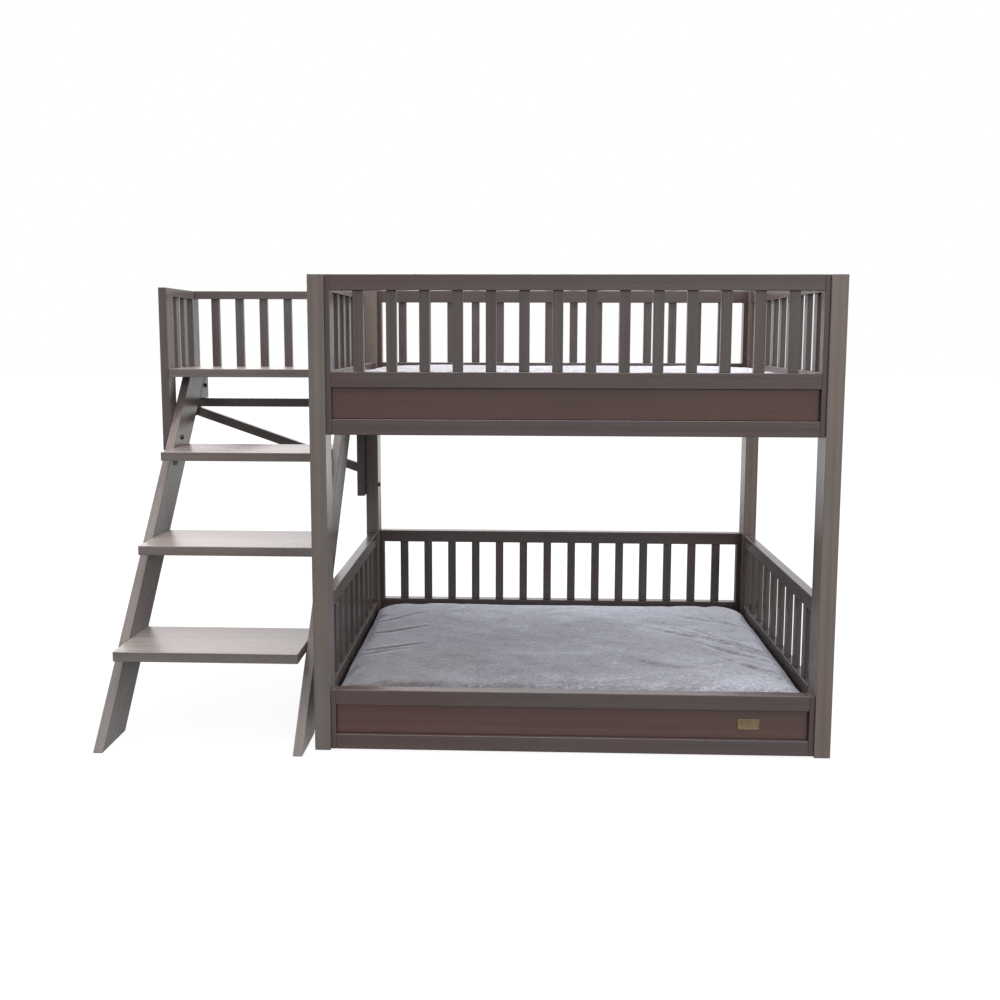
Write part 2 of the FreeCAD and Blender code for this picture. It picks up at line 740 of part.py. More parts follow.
STRINGER_POINTS = [
    (stringer_front("0"), "0"),
    (stringer_rear("0"), "0"),
    (stringer_rear(LANDING_UNDER), LANDING_UNDER),
    (stringer_front(LANDING_UNDER), LANDING_UNDER),
]
for side, across in (("left", LEFT_POST_INNER), ("right", RIGHT_STRINGER_INNER)):
    stringer = outline(side + "_stringer_board", "YZ_Plane", STRINGER_POINTS, "stringer_thickness",
                       (across, "0", "0"))
    stringer = drilled(side + "_stringer_screwed", stringer, screw_bore_group)
    node(drilled(side + "_stringer_bolted", stringer, landing_bore_group), side + "_stringer")

for step in STEPS:
    tread = board("tread_%d_board" % step,
                  (TREAD_LEFT, tread_front(step), minus(tread_top(step), "tread_thickness")),
                  (TREAD_LENGTH, "tread_depth", "tread_thickness"))
    node(drilled("tread_%d_drilled" % step, tread, screw_bore_group), "tread_%d" % step)

node(group("tread_bracket_group",
           [bracket(*place_of_one, screw_bore_group) for place_of_one in bracket_spots()]),
     "tread_brackets")
node(group("tread_screw_group", screw_bodies), "tread_screws")

# ----------------------------------------------------------------------- landing

BOARD_LEFT_IN = plus(LEFT_POST_INNER, "notch_gap")
BOARD_RIGHT_IN = minus(RIGHT_POST_INNER, "notch_gap")
BOARD_POINTS = [
    (BOARD_LEFT_IN, LANDING_FRONT),
    (RIGHT_POST_OUTER, LANDING_FRONT),
    (RIGHT_POST_OUTER, minus(BACK_POST_FRONT, "notch_gap")),
    (BOARD_RIGHT_IN, minus(BACK_POST_FRONT, "notch_gap")),
    (BOARD_RIGHT_IN, LANDING_BACK),
    (BOARD_LEFT_IN, LANDING_BACK),
    (BOARD_LEFT_IN, minus(BACK_POST_FRONT, "notch_gap")),
    (LEFT_POST_OUTER, minus(BACK_POST_FRONT, "notch_gap")),
    (LEFT_POST_OUTER, plus(FRONT_POST_BACK, "notch_gap")),
    (BOARD_LEFT_IN, plus(FRONT_POST_BACK, "notch_gap")),
]
node(outline("landing_board_blank", "XY_Plane", BOARD_POINTS, "landing_board",
             ("0", "0", LANDING_UNDER)), "landing_deck")

LANDING_POSTS = {
    "landing_front_left_post": (LEFT_POST_OUTER, LANDING_FRONT, "landing_front_post_low"),
    "landing_back_left_post": (LEFT_POST_OUTER, BACK_POST_FRONT, "landing_left_post_low"),
    "landing_back_right_post": (RIGHT_POST_INNER, BACK_POST_FRONT, "landing_right_post_low"),
}
for post_name, low in LANDING_POSTS.items():
    post = board(post_name + "_blank", low, ("landing_post_width", "landing_post_depth",
                                             minus(LANDING_RAIL_TOP, low[2])))
    node(drilled(post_name + "_drilled", post, landing_bore_group), post_name)

ACROSS_POSTS = minus(RIGHT_POST_INNER, LEFT_POST_INNER)
RAIL_LINE = minus(BACK_POST_MIDDLE, "landing_post_width / 2")
LANDING_SLAT_HEIGHT = minus(LANDING_RAIL_LOW, LANDING_TOP)
node(board("landing_back_rail_board", (LEFT_POST_INNER, RAIL_LINE, LANDING_RAIL_LOW),
           (ACROSS_POSTS, "landing_post_width", "landing_rail_height")), "landing_back_rail")
LANDING_PITCH = over(plus(ACROSS_POSTS, "slat_width"), "landing_back_slat_count + 1")
node(board("landing_back_slat_row",
           (minus(plus(LEFT_POST_INNER, LANDING_PITCH), "slat_width"),
            minus(BACK_POST_MIDDLE, "slat_thickness / 2"), LANDING_TOP),
           ("slat_width", "slat_thickness", LANDING_SLAT_HEIGHT),
           ("X", "landing_back_slat_count", LANDING_PITCH)), "landing_back_slats")

SIDE_RAIL_SPAN = "landing_depth - 2 * landing_post_depth"
node(board("landing_side_rail_board", (LEFT_POST_OUTER, FRONT_POST_BACK, LANDING_RAIL_LOW),
           ("landing_post_width", SIDE_RAIL_SPAN, "landing_rail_height")), "landing_side_rail")
LANDING_SIDE_PITCH = over(plus(SIDE_RAIL_SPAN, "slat_width"), "landing_side_slat_count + 1")
SIDE_SLAT_LEFT = plus(LEFT_POST_OUTER, "(landing_post_width - slat_thickness) / 2")
node(board("landing_side_slat_row",
           (SIDE_SLAT_LEFT, minus(plus(FRONT_POST_BACK, LANDING_SIDE_PITCH), "slat_width"),
            LANDING_TOP),
           ("slat_thickness", "slat_width", LANDING_SLAT_HEIGHT),
           ("Y", "landing_side_slat_count", LANDING_SIDE_PITCH)), "landing_side_slats")

node(board("landing_tie_board", (LEFT_POST_INNER, RAIL_LINE, minus("tie_top", "tie_height")),
           (ACROSS_POSTS, "landing_post_width", "tie_height")), "landing_tie_rail")

BRACE_LEFT_TOP = "tie_top - tie_height - notch_gap"
BRACE_RIGHT_TOP = minus(BRACE_LEFT_TOP, "brace_fall")
BRACE_POINTS = [
    (LEFT_POST_INNER, minus(BRACE_LEFT_TOP, "brace_height")),
    (RIGHT_POST_INNER, minus(BRACE_RIGHT_TOP, "brace_height")),
    (RIGHT_POST_INNER, BRACE_RIGHT_TOP),
    (LEFT_POST_INNER, BRACE_LEFT_TOP),
]
# the sketch plane's normal points to the front, so the board is placed by its back face
node(outline("landing_brace_board", "XZ_Plane", BRACE_POINTS, "brace_thickness",
             ("0", plus(BACK_POST_MIDDLE, "brace_thickness / 2"), "0")), "landing_diagonal_brace")

GUSSET_LOW = "tie_top + notch_gap"
GUSSET_POINTS = [
    (plus(stringer_rear(GUSSET_LOW), "notch_gap"), GUSSET_LOW),
    (LANDING_BACK, GUSSET_LOW),
    (LANDING_BACK, LANDING_UNDER),
    (plus(stringer_rear(LANDING_UNDER), "notch_gap"), LANDING_UNDER),
]
gussets = []
for side, across in (("left", LEFT_POST_INNER), ("right", RIGHT_STRINGER_INNER)):
    gusset = outline(side + "_gusset_board", "YZ_Plane", GUSSET_POINTS, "stringer_thickness",
                     (across, "0", "0"))
    gussets.append(drilled(side + "_gusset_drilled", gusset, landing_bore_group))
node(group("gusset_group", gussets), "landing_gussets")

# --------------------------------------------------------------------- small parts

node(group("frame_bolt_group", frame_bolt_bodies), "frame_bolts")
node(group("landing_bolt_group", landing_bolt_bodies), "landing_bolts")
node(group("cap_nut_group", cap_nut_bodies), "cap_nuts")

PLATE_MIDDLE = plus(LOWER_FASCIA_LOW, "fascia_height / 2")
node(board("name_plate_board",
           (minus(HALF_WIDTH, "plate_from_right + plate_width / 2"),
            "front_setback + fascia_recess - plate_thickness", minus(PLATE_MIDDLE, "plate_height / 2")),
           ("plate_width", "plate_thickness", "plate_height"), rounded=False), "name_plate")

# ------------------------------------------------------------- checks and writing

doc.recompute()
for thing in doc.Objects:
    troubles = [word for word in thing.State if word in ("Invalid", "Error")]
    if troubles:
        raise RuntimeError("%s did not build: %s" % (thing.Label, ", ".join(troubles)))
for thing in nodes:
    if thing.Shape.isNull() or not thing.Shape.isValid():
        raise RuntimeError("%s has no valid shape" % thing.Label)

os.makedirs("parts", exist_ok=True)
for thing in nodes:
    thing.Shape.exportStep("parts/%s.step" % thing.Label)
print("%d nodes written" % len(nodes))
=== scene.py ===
"""Bunk bed with ladder: board finishes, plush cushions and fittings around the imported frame."""

import json
import math

import bpy
import numpy as np
from bpy.props import FloatProperty, FloatVectorProperty, IntProperty, PointerProperty
from mathutils import Matrix, Vector

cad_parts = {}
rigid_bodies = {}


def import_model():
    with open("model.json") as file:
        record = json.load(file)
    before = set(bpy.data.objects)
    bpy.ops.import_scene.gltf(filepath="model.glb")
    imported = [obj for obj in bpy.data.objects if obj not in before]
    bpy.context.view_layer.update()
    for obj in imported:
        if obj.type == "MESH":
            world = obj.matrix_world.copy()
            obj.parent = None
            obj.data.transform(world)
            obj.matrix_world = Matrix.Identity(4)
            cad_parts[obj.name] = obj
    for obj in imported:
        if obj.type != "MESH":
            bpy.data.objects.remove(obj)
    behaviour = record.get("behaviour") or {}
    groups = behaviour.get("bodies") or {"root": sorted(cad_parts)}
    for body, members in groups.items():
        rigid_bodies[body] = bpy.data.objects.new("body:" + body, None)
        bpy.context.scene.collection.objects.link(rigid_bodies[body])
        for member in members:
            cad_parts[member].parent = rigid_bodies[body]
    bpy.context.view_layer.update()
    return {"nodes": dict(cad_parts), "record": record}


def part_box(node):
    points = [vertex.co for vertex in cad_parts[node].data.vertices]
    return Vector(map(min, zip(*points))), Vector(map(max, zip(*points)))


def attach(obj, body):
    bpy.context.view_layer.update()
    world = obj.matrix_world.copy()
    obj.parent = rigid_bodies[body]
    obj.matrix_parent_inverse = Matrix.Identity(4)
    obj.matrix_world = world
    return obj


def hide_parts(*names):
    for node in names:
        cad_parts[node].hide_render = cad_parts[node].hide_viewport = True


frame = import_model()

bl_info = {
    "name": "Bunk Bed with Ladder",
    "version": (1, 0, 0),
    "blender": (4, 5, 0),
    "location": "View3D > Sidebar > Bunk Bed",
    "description": "Finishes a bunk bed's boards and makes its cushions and fittings",
    "category": "Object",
}

QUARTER = math.pi / 2


# ---- settings

def colour_setting(name, description, default):
    return FloatVectorProperty(name=name, description=description, default=default,
                               subtype="COLOR", size=3, min=0.0, max=1.0)


def length_setting(name, description, default):
    return FloatProperty(name=name, description=description, default=default,
                         unit="LENGTH", min=0.0)


def number_setting(name, description, default, **limits):
    """A number that can't be negative unless its own limits say so."""
    return FloatProperty(name=name, description=description, default=default,
                         **{"min": 0.0, **limits})


class BoardSettings(bpy.types.PropertyGroup):
    post_colour: colour_setting("Posts", "Stain of the four bed posts", (0.108, 0.083, 0.073))
    rail_colour: colour_setting("Rails", "Stain of the rails and stiles", (0.0585, 0.0390, 0.0378))
    slat_colour: colour_setting("Slats", "Stain of the guard slats", (0.059, 0.0455, 0.0428))
    fascia_colour: colour_setting("Fascias", "Stain of the recessed panels",
                                  (0.0655, 0.0318, 0.0268))
    step_colour: colour_setting("Ladder", "Stain of the stringers, treads and landing board",
                                (0.112, 0.089, 0.084))
    # the landing's boards get a darker copy of the ladder's stain: painted shade
    landing_shaded_colour: colour_setting("Landing", "Stain of the landing's posts, rails and braces",
                                   (0.072, 0.057, 0.055))
    deck_colour: colour_setting("Decks", "Colour of the boards under the cushions",
                                (0.19, 0.13, 0.085))
    gloss: number_setting("Roughness", "Roughness of the stained surface", 0.27,
                          min=0.05, max=1.0, subtype="FACTOR")
    edge_wear: number_setting("Edge wear", "How pale the rubbed edges are", 0.16,
                              max=1.0, subtype="FACTOR")
    edge_width: length_setting("Edge width", "How far the rubbed edge reaches", 0.0016)


class CushionSettings(bpy.types.PropertyGroup):
    plush_colour: colour_setting("Plush", "Colour of the plush cover", (0.138, 0.134, 0.143))
    # the upper cover's paler colour is painted light for the stronger light on the top bunk
    upper_lit_plush_colour: colour_setting("Pale plush", "Colour of the upper cushion's paler cover",
                                      (0.25, 0.242, 0.258))
    shrink: length_setting("Start allowance", "How much smaller the cover starts", 0.002)
    voxel: length_setting("Cloth grid", "Spacing of the cloth's threads in the simulation", 0.006)
    pressure: number_setting("Filling pressure", "Pressure of the stuffing", 4.0, max=50.0)
    frames: IntProperty(name="Frames", description="Steps of the simulation",
                        default=20, min=2, max=60)
    reach: length_setting("Swelling", "Furthest that the cover may move as it is filled", 0.013)
    spread: length_setting("Spread", "How far the cushion presses out towards the rails", 0.0052)
    seam: length_setting("Seam depth", "How deep the side seam pulls in", 0.0035)


class FittingSettings(bpy.types.PropertyGroup):
    steel_colour: colour_setting("Bolt steel", "Colour of the bolts and screws",
                                 (0.13, 0.118, 0.11))
    nut_colour: colour_setting("Cap nuts", "Colour of the darkened cap nuts",
                               (0.085, 0.062, 0.054))
    bracket_colour: colour_setting("Bracket steel", "Colour of the tread brackets",
                                   (0.16, 0.16, 0.165))
    plate_colour: colour_setting("Name plate", "Colour of the blank plate", (0.27, 0.21, 0.13))
    glide_colour: colour_setting("Glides", "Colour of the plastic feet", (0.022, 0.022, 0.024))
    socket: length_setting("Socket", "Width across the corners of the bolts' sockets", 0.0056)
    sheet_thickness: length_setting("Bracket sheet", "Thickness of the bent steel", 0.002)
    bend: length_setting("Bend", "Radius of the brackets' bend", 0.0032)


class StageSettings(bpy.types.PropertyGroup):
    eye: FloatVectorProperty(name="Camera", description="Where the camera stands",
                             default=(0.1203, -1.6845, 0.7312), subtype="TRANSLATION",
                             unit="LENGTH")
    turn: FloatVectorProperty(name="Camera turn", description="How the camera is turned",
                              default=(QUARTER - 0.0927, -0.0025, 0.0292),
                              subtype="EULER", unit="ROTATION")
    focal: number_setting("Focal length", "Focal length on a 36 mm sensor, in mm", 30.42, min=1.0)
    rise: number_setting("Lens shift", "Upright shift of the lens", -0.0856, min=-1.0, max=1.0)
    sky: number_setting("Room light", "Strength of the room at eye level", 1.0)
    zenith: number_setting("Overhead light", "How much brighter the room is overhead", 1.8)
    right_light: number_setting("Right light", "How much brighter the right side is", 0.14,
                                min=-1.0, max=1.0)
    cross_light: number_setting("Cross light", "How much brighter the far left and near right are",
                                0.46, min=-1.0, max=1.0)
    back_light: number_setting("Back light", "How much brighter the far side is", 0.24,
                               min=-1.0, max=1.0)
    warm_side: colour_setting("Left tint", "Tint of the light from the left", (1.0, 0.942, 0.93))
    cool_side: colour_setting("Right tint", "Tint of the light from the right", (0.92, 0.985, 1.0))
    top_light: number_setting("Top light", "Power of the ceiling softbox", 172.0, unit="POWER")
    front_light: number_setting("Front light", "Power of the softbox to the right of the camera",
                                31.0, unit="POWER")
    floor_white: number_setting("Floor tone", "Tone of the pale floor in the picture", 0.91)
    floor_near: number_setting("Near floor", "How bright the near floor's reflection is", 0.60)
    floor_middle: number_setting("Middle floor", "How bright the reflection under the bed is",
                                 0.25)
    floor_far: number_setting("Far floor", "How much brighter the far floor's reflection is",
                              1.15)
    floor_bounce: number_setting("Floor bounce", "Share of light the floor sends back", 0.14,
                                 max=1.0)


def settings():
    return bpy.context.scene


# ---- node building

def add_node(tree, kind, inputs=None, **options):
    """Adds a shader node; an input given as a socket is linked and any other is set."""
    made = tree.nodes.new(kind)
    for option, value in options.items():
        setattr(made, option, value)
    for key, value in (inputs or {}).items():
        if isinstance(value, bpy.types.NodeSocket):
            tree.links.new(value, made.inputs[key])
        else:
            made.inputs[key].default_value = value
    return made


def new_finish(name, fixed=None):
    """A new material, its tree, its shader with its fixed values, and the place on the object
    that patterns start from."""
    material = bpy.data.materials.new(name)
    material.use_nodes = True
    tree = material.node_tree
    tree.nodes.clear()
    shader = add_node(tree, "ShaderNodeBsdfPrincipled", fixed)
    output = add_node(tree, "ShaderNodeOutputMaterial")
    tree.links.new(shader.outputs["BSDF"], output.inputs["Surface"])
    return material, tree, shader, add_node(tree, "ShaderNodeTexCoord").outputs["Object"]


def noise(tree, place, scale, detail=3.0, roughness=0.55, distortion=0.0):
    """A noise pattern over a point, stretched by a scale for each direction."""
    stretched = add_node(tree, "ShaderNodeMapping", {"Vector": place, "Scale": scale})
    made = add_node(tree, "ShaderNodeTexNoise", {
        "Vector": stretched.outputs["Vector"], "Scale": 1.0, "Detail": detail,
        "Roughness": roughness, "Distortion": distortion})
    return made.outputs["Fac"]


def remap(tree, value, low, high, new_low, new_high):
    made = add_node(tree, "ShaderNodeMapRange", {
        "Value": value, "From Min": low, "From Max": high, "To Min": new_low, "To Max": new_high})
    return made.outputs["Result"]


def blend_colour(tree, share, first, second, kind="MIX"):
    made = add_node(tree, "ShaderNodeMix", {"Factor": share, 6: first, 7: second},
                    data_type="RGBA", blend_type=kind)
    return made.outputs[2]


def arithmetic(tree, kind, first, second):
    made = add_node(tree, "ShaderNodeMath", {0: first, 1: second}, operation=kind)
    return made.outputs["Value"]


def tinted(colour, red=1.0, green=1.0, blue=1.0):
    return (colour[0] * red, colour[1] * green, colour[2] * blue, 1.0)


def grey_colour(tree, value):
    made = add_node(tree, "ShaderNodeCombineColor", {0: value, 1: value, 2: value})
    return made.outputs["Color"]


def shaded(tree, base, shade):
    """A colour made lighter or darker by a pattern."""
    return blend_colour(tree, 1.0, base, grey_colour(tree, shade), "MULTIPLY")


def product(tree, first, *others):
    for other in others:
        first = arithmetic(tree, "MULTIPLY", first, other)
    return first


def spread_out(tree, pattern, new_low, new_high):
    """A noise pattern's usual reach, brought to a new low and high."""
    return remap(tree, pattern, 0.3, 0.7, new_low, new_high)


def emboss(tree, shader, height, strength, depth):
    bump = add_node(tree, "ShaderNodeBump", {
        "Strength": strength, "Distance": depth, "Height": height})
    tree.links.new(bump.outputs["Normal"], shader.inputs["Normal"])


FLAT_COSINE = 0.995
EDGE_COSINE = 0.80


def edge_mask(tree, width):
    """1 on edges and corners, 0 on the flats."""
    softened = add_node(tree, "ShaderNodeBevel", {"Radius": width}, samples=4)
    flat = add_node(tree, "ShaderNodeNewGeometry")
    facing = add_node(tree, "ShaderNodeVectorMath", {
        0: softened.outputs["Normal"], 1: flat.outputs["True Normal"]}, operation="DOT_PRODUCT")
    return remap(tree, facing.outputs["Value"], FLAT_COSINE, EDGE_COSINE, 0.0, 1.0)


# a board's patterns: repeats in a metre along the grain and across it, detail and roughness
FINE_GRAIN = ((0.9, 420.0, 420.0), 4.0, 0.6)
STREAKS = ((0.3, 74.0, 74.0), 3.0, 0.6)
TINT_DRIFT = ((2.6, 5.5, 5.5), 2.0, 0.5)
CLOUDS = ((7.0, 19.0, 19.0), 2.0, 0.5)
PORES = ((90.0, 1100.0, 1100.0), 2.0, 0.5)
PORE_EDGES = (0.30, 0.42)
BROWN_TINT = (1.04, 0.94, 0.93)
GREEN_TINT = (0.95, 1.12, 1.12)
RUBBED_TINT = (2.3, 2.4, 2.5)
GREYING_SPAN = (-0.3, 0.65)


def board_finish(name, colour, turn, warmth, greying):
    """Stained composite board; turn brings the grain's direction onto the pattern's X, warmth is
    how far its tint drifts and greying how much greyer it is towards the right."""
    boards = settings().bunk_boards
    material, tree, shader, here = new_finish(name)
    grain = add_node(tree, "ShaderNodeMapping", {"Vector": here, "Rotation": turn})
    fine, streak, drift, cloud, pores = (
        noise(tree, grain.outputs["Vector"], *pattern)
        for pattern in (FINE_GRAIN, STREAKS, TINT_DRIFT, CLOUDS, PORES))
    side = add_node(tree, "ShaderNodeSeparateXYZ", {"Vector": here}).outputs["X"]
    drift = arithmetic(tree, "ADD", drift,
                       remap(tree, side, *GREYING_SPAN, -0.25 * greying, greying))
    greener = remap(tree, drift, 0.36, 0.64, 0.5 - 0.5 * warmth, 0.5 + 0.5 * warmth)
    stain = blend_colour(tree, greener, tinted(colour, *BROWN_TINT), tinted(colour, *GREEN_TINT))
    shade = product(tree, remap(tree, streak, 0.28, 0.72, 0.86, 1.15),
                    spread_out(tree, fine, 0.90, 1.10),
                    remap(tree, cloud, 0.25, 0.75, 0.93, 1.06),
                    remap(tree, pores, *PORE_EDGES, 0.91, 1.0))
    stain = shaded(tree, stain, shade)
    rubbed = product(tree, edge_mask(tree, boards.edge_width),
                     remap(tree, cloud, 0.35, 0.70, 0.15, 1.0), boards.edge_wear)
    tree.links.new(blend_colour(tree, rubbed, stain, tinted(colour, *RUBBED_TINT)),
                   shader.inputs["Base Color"])
    gloss = arithmetic(tree, "ADD", spread_out(tree, streak, -0.015, 0.015),
                       spread_out(tree, cloud, boards.gloss - 0.015, boards.gloss + 0.025))
    tree.links.new(gloss, shader.inputs["Roughness"])
    height = arithmetic(tree, "ADD", remap(tree, fine, 0.0, 1.0, 0.0, 0.7),
                        remap(tree, pores, *PORE_EDGES, 0.0, 0.3))
    emboss(tree, shader, height, 0.25, 0.00015)
    return material


METAL_EDGE = 0.0005
METAL_WEAR = 0.45
METAL_RUBBED = (2.8, 2.8, 2.8)


def metal_finish(name, colour, roughness, brushed, metallic=1.0, stains=0.5):
    """Plated or lacquered metal; brushed gives the brushing's scale for each direction."""
    material, tree, shader, here = new_finish(name, {"Metallic": metallic})
    brush = noise(tree, here, brushed, 3.0, 0.6)
    patina = noise(tree, here, (190.0,) * 3, 5.0, 0.65, 0.5)
    shade = product(tree, spread_out(tree, brush, 0.88, 1.12),
                    remap(tree, patina, 0.3, 0.62, 1.0 - 0.5 * stains, 1.05))
    base = shaded(tree, tinted(colour), shade)
    rubbed = product(tree, edge_mask(tree, METAL_EDGE), METAL_WEAR)
    tree.links.new(blend_colour(tree, rubbed, base, tinted(colour, *METAL_RUBBED)),
                   shader.inputs["Base Color"])
    tree.links.new(spread_out(tree, patina, roughness + 0.12, roughness - 0.06),
                   shader.inputs["Roughness"])
    emboss(tree, shader, brush, 0.3, 0.0001)
    return material


def plastic_finish(name, colour):
    """Moulded black plastic with a fine spark-eroded grain."""
    material, tree, shader, here = new_finish(name)
    speck = noise(tree, here, (1500.0,) * 3, 2.0, 0.5)
    scuff = noise(tree, here, (160.0,) * 3, 4.0, 0.6)
    tree.links.new(shaded(tree, tinted(colour), spread_out(tree, scuff, 0.8, 1.5)),
                   shader.inputs["Base Color"])
    tree.links.new(spread_out(tree, scuff, 0.45, 0.7), shader.inputs["Roughness"])
    emboss(tree, shader, speck, 0.25, 0.0001)
    return material


# the plush's patterns: repeats in a metre, detail, roughness and how far it swirls
PILE = ((820.0,) * 3, 3.0, 0.6)
TUFTS = ((120.0, 190.0, 150.0), 3.0, 0.7)
CLUMPS = ((210.0, 260.0, 210.0), 4.0, 0.65, 0.4)
NAP_PATCHES = ((7.0, 19.0, 12.0), 4.0, 0.6, 1.4)
NAP_STROKES = ((26.0, 70.0, 40.0), 3.0, 0.6, 2.2)
# the two ends of the cushion's painted light: painted shade on the left, a cool painted light on
# the right and the back
PAINTED_SHADE_TINT = (0.68, 0.64, 0.625)
PAINTED_LIGHT_TINT = (2.08, 2.15, 2.30)
PLUSH = {"Specular IOR Level": 0.18, "Sheen Weight": 0.9, "Sheen Roughness": 0.34,
         "Sheen Tint": (0.86, 0.88, 1.0, 1.0)}


def plush_finish(name, colour, painted_light_share):
    """Short grey plush: patches where the pile lies differently, fine clumps of pile and a soft
    sheen; painted light and shade make the right side, the back and the front edge paler and the
    left darker, and the last argument is how strong that painted light and shade are."""
    material, tree, shader, here = new_finish(name, PLUSH)
    pile, tuft, clump, lay, stroke = (
        noise(tree, here, *pattern) for pattern in (PILE, TUFTS, CLUMPS, NAP_PATCHES, NAP_STROKES))
    parts = add_node(tree, "ShaderNodeSeparateXYZ", {"Vector": here}).outputs
    # painted light and shade: paler towards the right, the back and the front edge, darker towards
    # the left; the lay pattern adds real patches of pile
    brushed = remap(tree, parts["X"], -0.2, 0.62, 0.0, 1.0)
    for more in (remap(tree, parts["Y"], 0.02, 0.24, 0.0, 0.52),
                 remap(tree, parts["Y"], -0.24, -0.14, 0.20, 0.0),
                 spread_out(tree, lay, -0.16, 0.16)):
        brushed = arithmetic(tree, "ADD", brushed, more)
    # sharpened, then scaled by how strong this cover's painted light and shade are
    brushed = arithmetic(tree, "MULTIPLY", arithmetic(tree, "POWER", brushed, 2.0), painted_light_share)
    base = blend_colour(tree, brushed, tinted(colour, *PAINTED_SHADE_TINT), tinted(colour, *PAINTED_LIGHT_TINT))
    shade = product(tree, spread_out(tree, lay, 0.88, 1.13), spread_out(tree, stroke, 0.90, 1.10),
                    spread_out(tree, clump, 0.60, 1.44), spread_out(tree, pile, 0.78, 1.22),
                    spread_out(tree, tuft, 0.72, 1.32))
    tree.links.new(shaded(tree, base, shade), shader.inputs["Base Color"])
    tree.links.new(spread_out(tree, clump, 0.82, 0.98), shader.inputs["Roughness"])
    height = arithmetic(tree, "ADD", clump, arithmetic(tree, "MULTIPLY", pile, 0.6))
    emboss(tree, shader, height, 0.8, 0.002)
    return material


# ---- mesh building

def deselect_all():
    for thing in bpy.context.view_layer.objects:
        thing.select_set(False)


def select_only(thing):
    deselect_all()
    thing.select_set(True)
    bpy.context.view_layer.objects.active = thing


def call_it(thing, name):
    thing.name = name
    thing.data.name = name
    return thing


def primitive(maker, name, **options):
    """Adds a primitive as the only selected object."""
    deselect_all()
    maker(**options)
    return call_it(bpy.context.active_object, name)


def settle(thing):
    """Moves an object's place, turn and scale into its mesh."""
    select_only(thing)
    bpy.ops.object.transform_apply(location=True, rotation=True, scale=True)


def rod(name, sides, radius, length, middle):
    """A cylinder along X with its middle at the given X."""
    made = primitive(bpy.ops.mesh.primitive_cylinder_add, name, vertices=sides, radius=radius,
                     depth=length, location=(middle, 0.0, 0.0), rotation=(0.0, QUARTER, 0.0))
    settle(made)
    return made


def pick_faces(thing, wanted):
    """Leaves edit mode's selection on the faces whose middle and normal are wanted."""
    pick(thing, "FACE", lambda mesh: [
        (face, wanted(face.center, face.normal)) for face in mesh.polygons])


def pick_edges(thing, wanted):
    """Leaves edit mode's selection on the edges whose two ends are wanted."""
    pick(thing, "EDGE", lambda mesh: [
        (edge, wanted(*[mesh.vertices[i].co for i in edge.vertices])) for edge in mesh.edges])


def pick(thing, kind, marks):
    bpy.context.view_layer.objects.active = thing
    bpy.ops.object.mode_set(mode="EDIT")
    bpy.ops.mesh.select_mode(type=kind)
    bpy.ops.mesh.select_all(action="DESELECT")
    bpy.ops.object.mode_set(mode="OBJECT")
    chosen = 0
    for part, take in marks(thing.data):
        part.select = bool(take)
        chosen += bool(take)
    if not chosen:
        raise RuntimeError("nothing to pick on " + thing.name)
    bpy.ops.object.mode_set(mode="EDIT")


def leave_edit():
    bpy.ops.object.mode_set(mode="OBJECT")


def round_edges(thing, wanted, offset, segments, profile=0.5):
    pick_edges(thing, wanted)
    bpy.ops.mesh.bevel(offset=offset, segments=segments, profile=profile)
    leave_edit()


def is_near(first, second):
    return abs(first - second) < 1e-5


def push(x, y, z):
    """Extrudes what is picked and moves it."""
    bpy.ops.mesh.extrude_region_move(TRANSFORM_OT_translate={"value": (x, y, z)})


def finish_with(thing, kind, **options):
    """Adds a modifier and applies it."""
    select_only(thing)
    made = thing.modifiers.new(kind.title(), kind)
    for option, value in options.items():
        setattr(made, option, value)
    bpy.ops.object.modifier_apply(modifier=made.name)


def cut_with(thing, cutter):
    """Cuts a closed piece out of another and throws the cutter away."""
    finish_with(thing, "BOOLEAN", operation="DIFFERENCE", solver="EXACT", object=cutter)
    bpy.data.objects.remove(cutter)


def copy_at(thing, move):
    """A copy with its own mesh, its points carried over by a matrix."""
    made = thing.copy()
    made.data = thing.data.copy()
    made.data.transform(move)
    bpy.context.scene.collection.objects.link(made)
    return made


def joined(parts, name):
    deselect_all()
    for part in parts:
        part.select_set(True)
    bpy.context.view_layer.objects.active = parts[0]
    if len(parts) > 1:
        bpy.ops.object.join()
    return call_it(bpy.context.active_object, name)


def smooth(thing, degrees=35.0):
    select_only(thing)
    bpy.ops.object.shade_smooth_by_angle(angle=math.radians(degrees))


def hand_over(thing, material, body, node):
    """Gives a piece its finish, hangs it on its body and hides the CAD node that it stands in for.
    """
    thing.data.materials.clear()
    thing.data.materials.append(material)
    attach(thing, body)
    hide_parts(node)


def fit(parts, name, material, node):
    """Joins a fitting's parts into one piece on the frame."""
    whole = joined(parts, name)
    smooth(whole)
    hand_over(whole, material, "frame", node)


def mesh_points(mesh):
    flat = np.empty(len(mesh.vertices) * 3, np.float64)
    mesh.vertices.foreach_get("co", flat)
    return flat.reshape(-1, 3)


def solids_of(name):
    """The lowest and highest corner of each separate solid of a CAD node."""
    mesh = frame["nodes"][name].data
    places = mesh_points(mesh)
    rounded = np.round(places * 1e5).astype(np.int64)
    shared, group = np.unique(rounded, axis=0, return_inverse=True)
    group = group.ravel()
    leader = list(range(len(shared)))

    def root(item):
        while leader[item] != item:
            leader[item] = leader[leader[item]]
            item = leader[item]
        return item

    for face in mesh.polygons:
        first, *others = (root(group[i]) for i in face.vertices)
        for other in others:
            leader[root(other)] = root(first)
    roots = np.array([root(item) for item in group])
    boxes = []
    for one in np.unique(roots):
        own = places[roots == one]
        boxes.append((Vector(own.min(0).tolist()), Vector(own.max(0).tolist())))
    return sorted(boxes, key=lambda box: tuple(box[0]))


# ---- the pieces

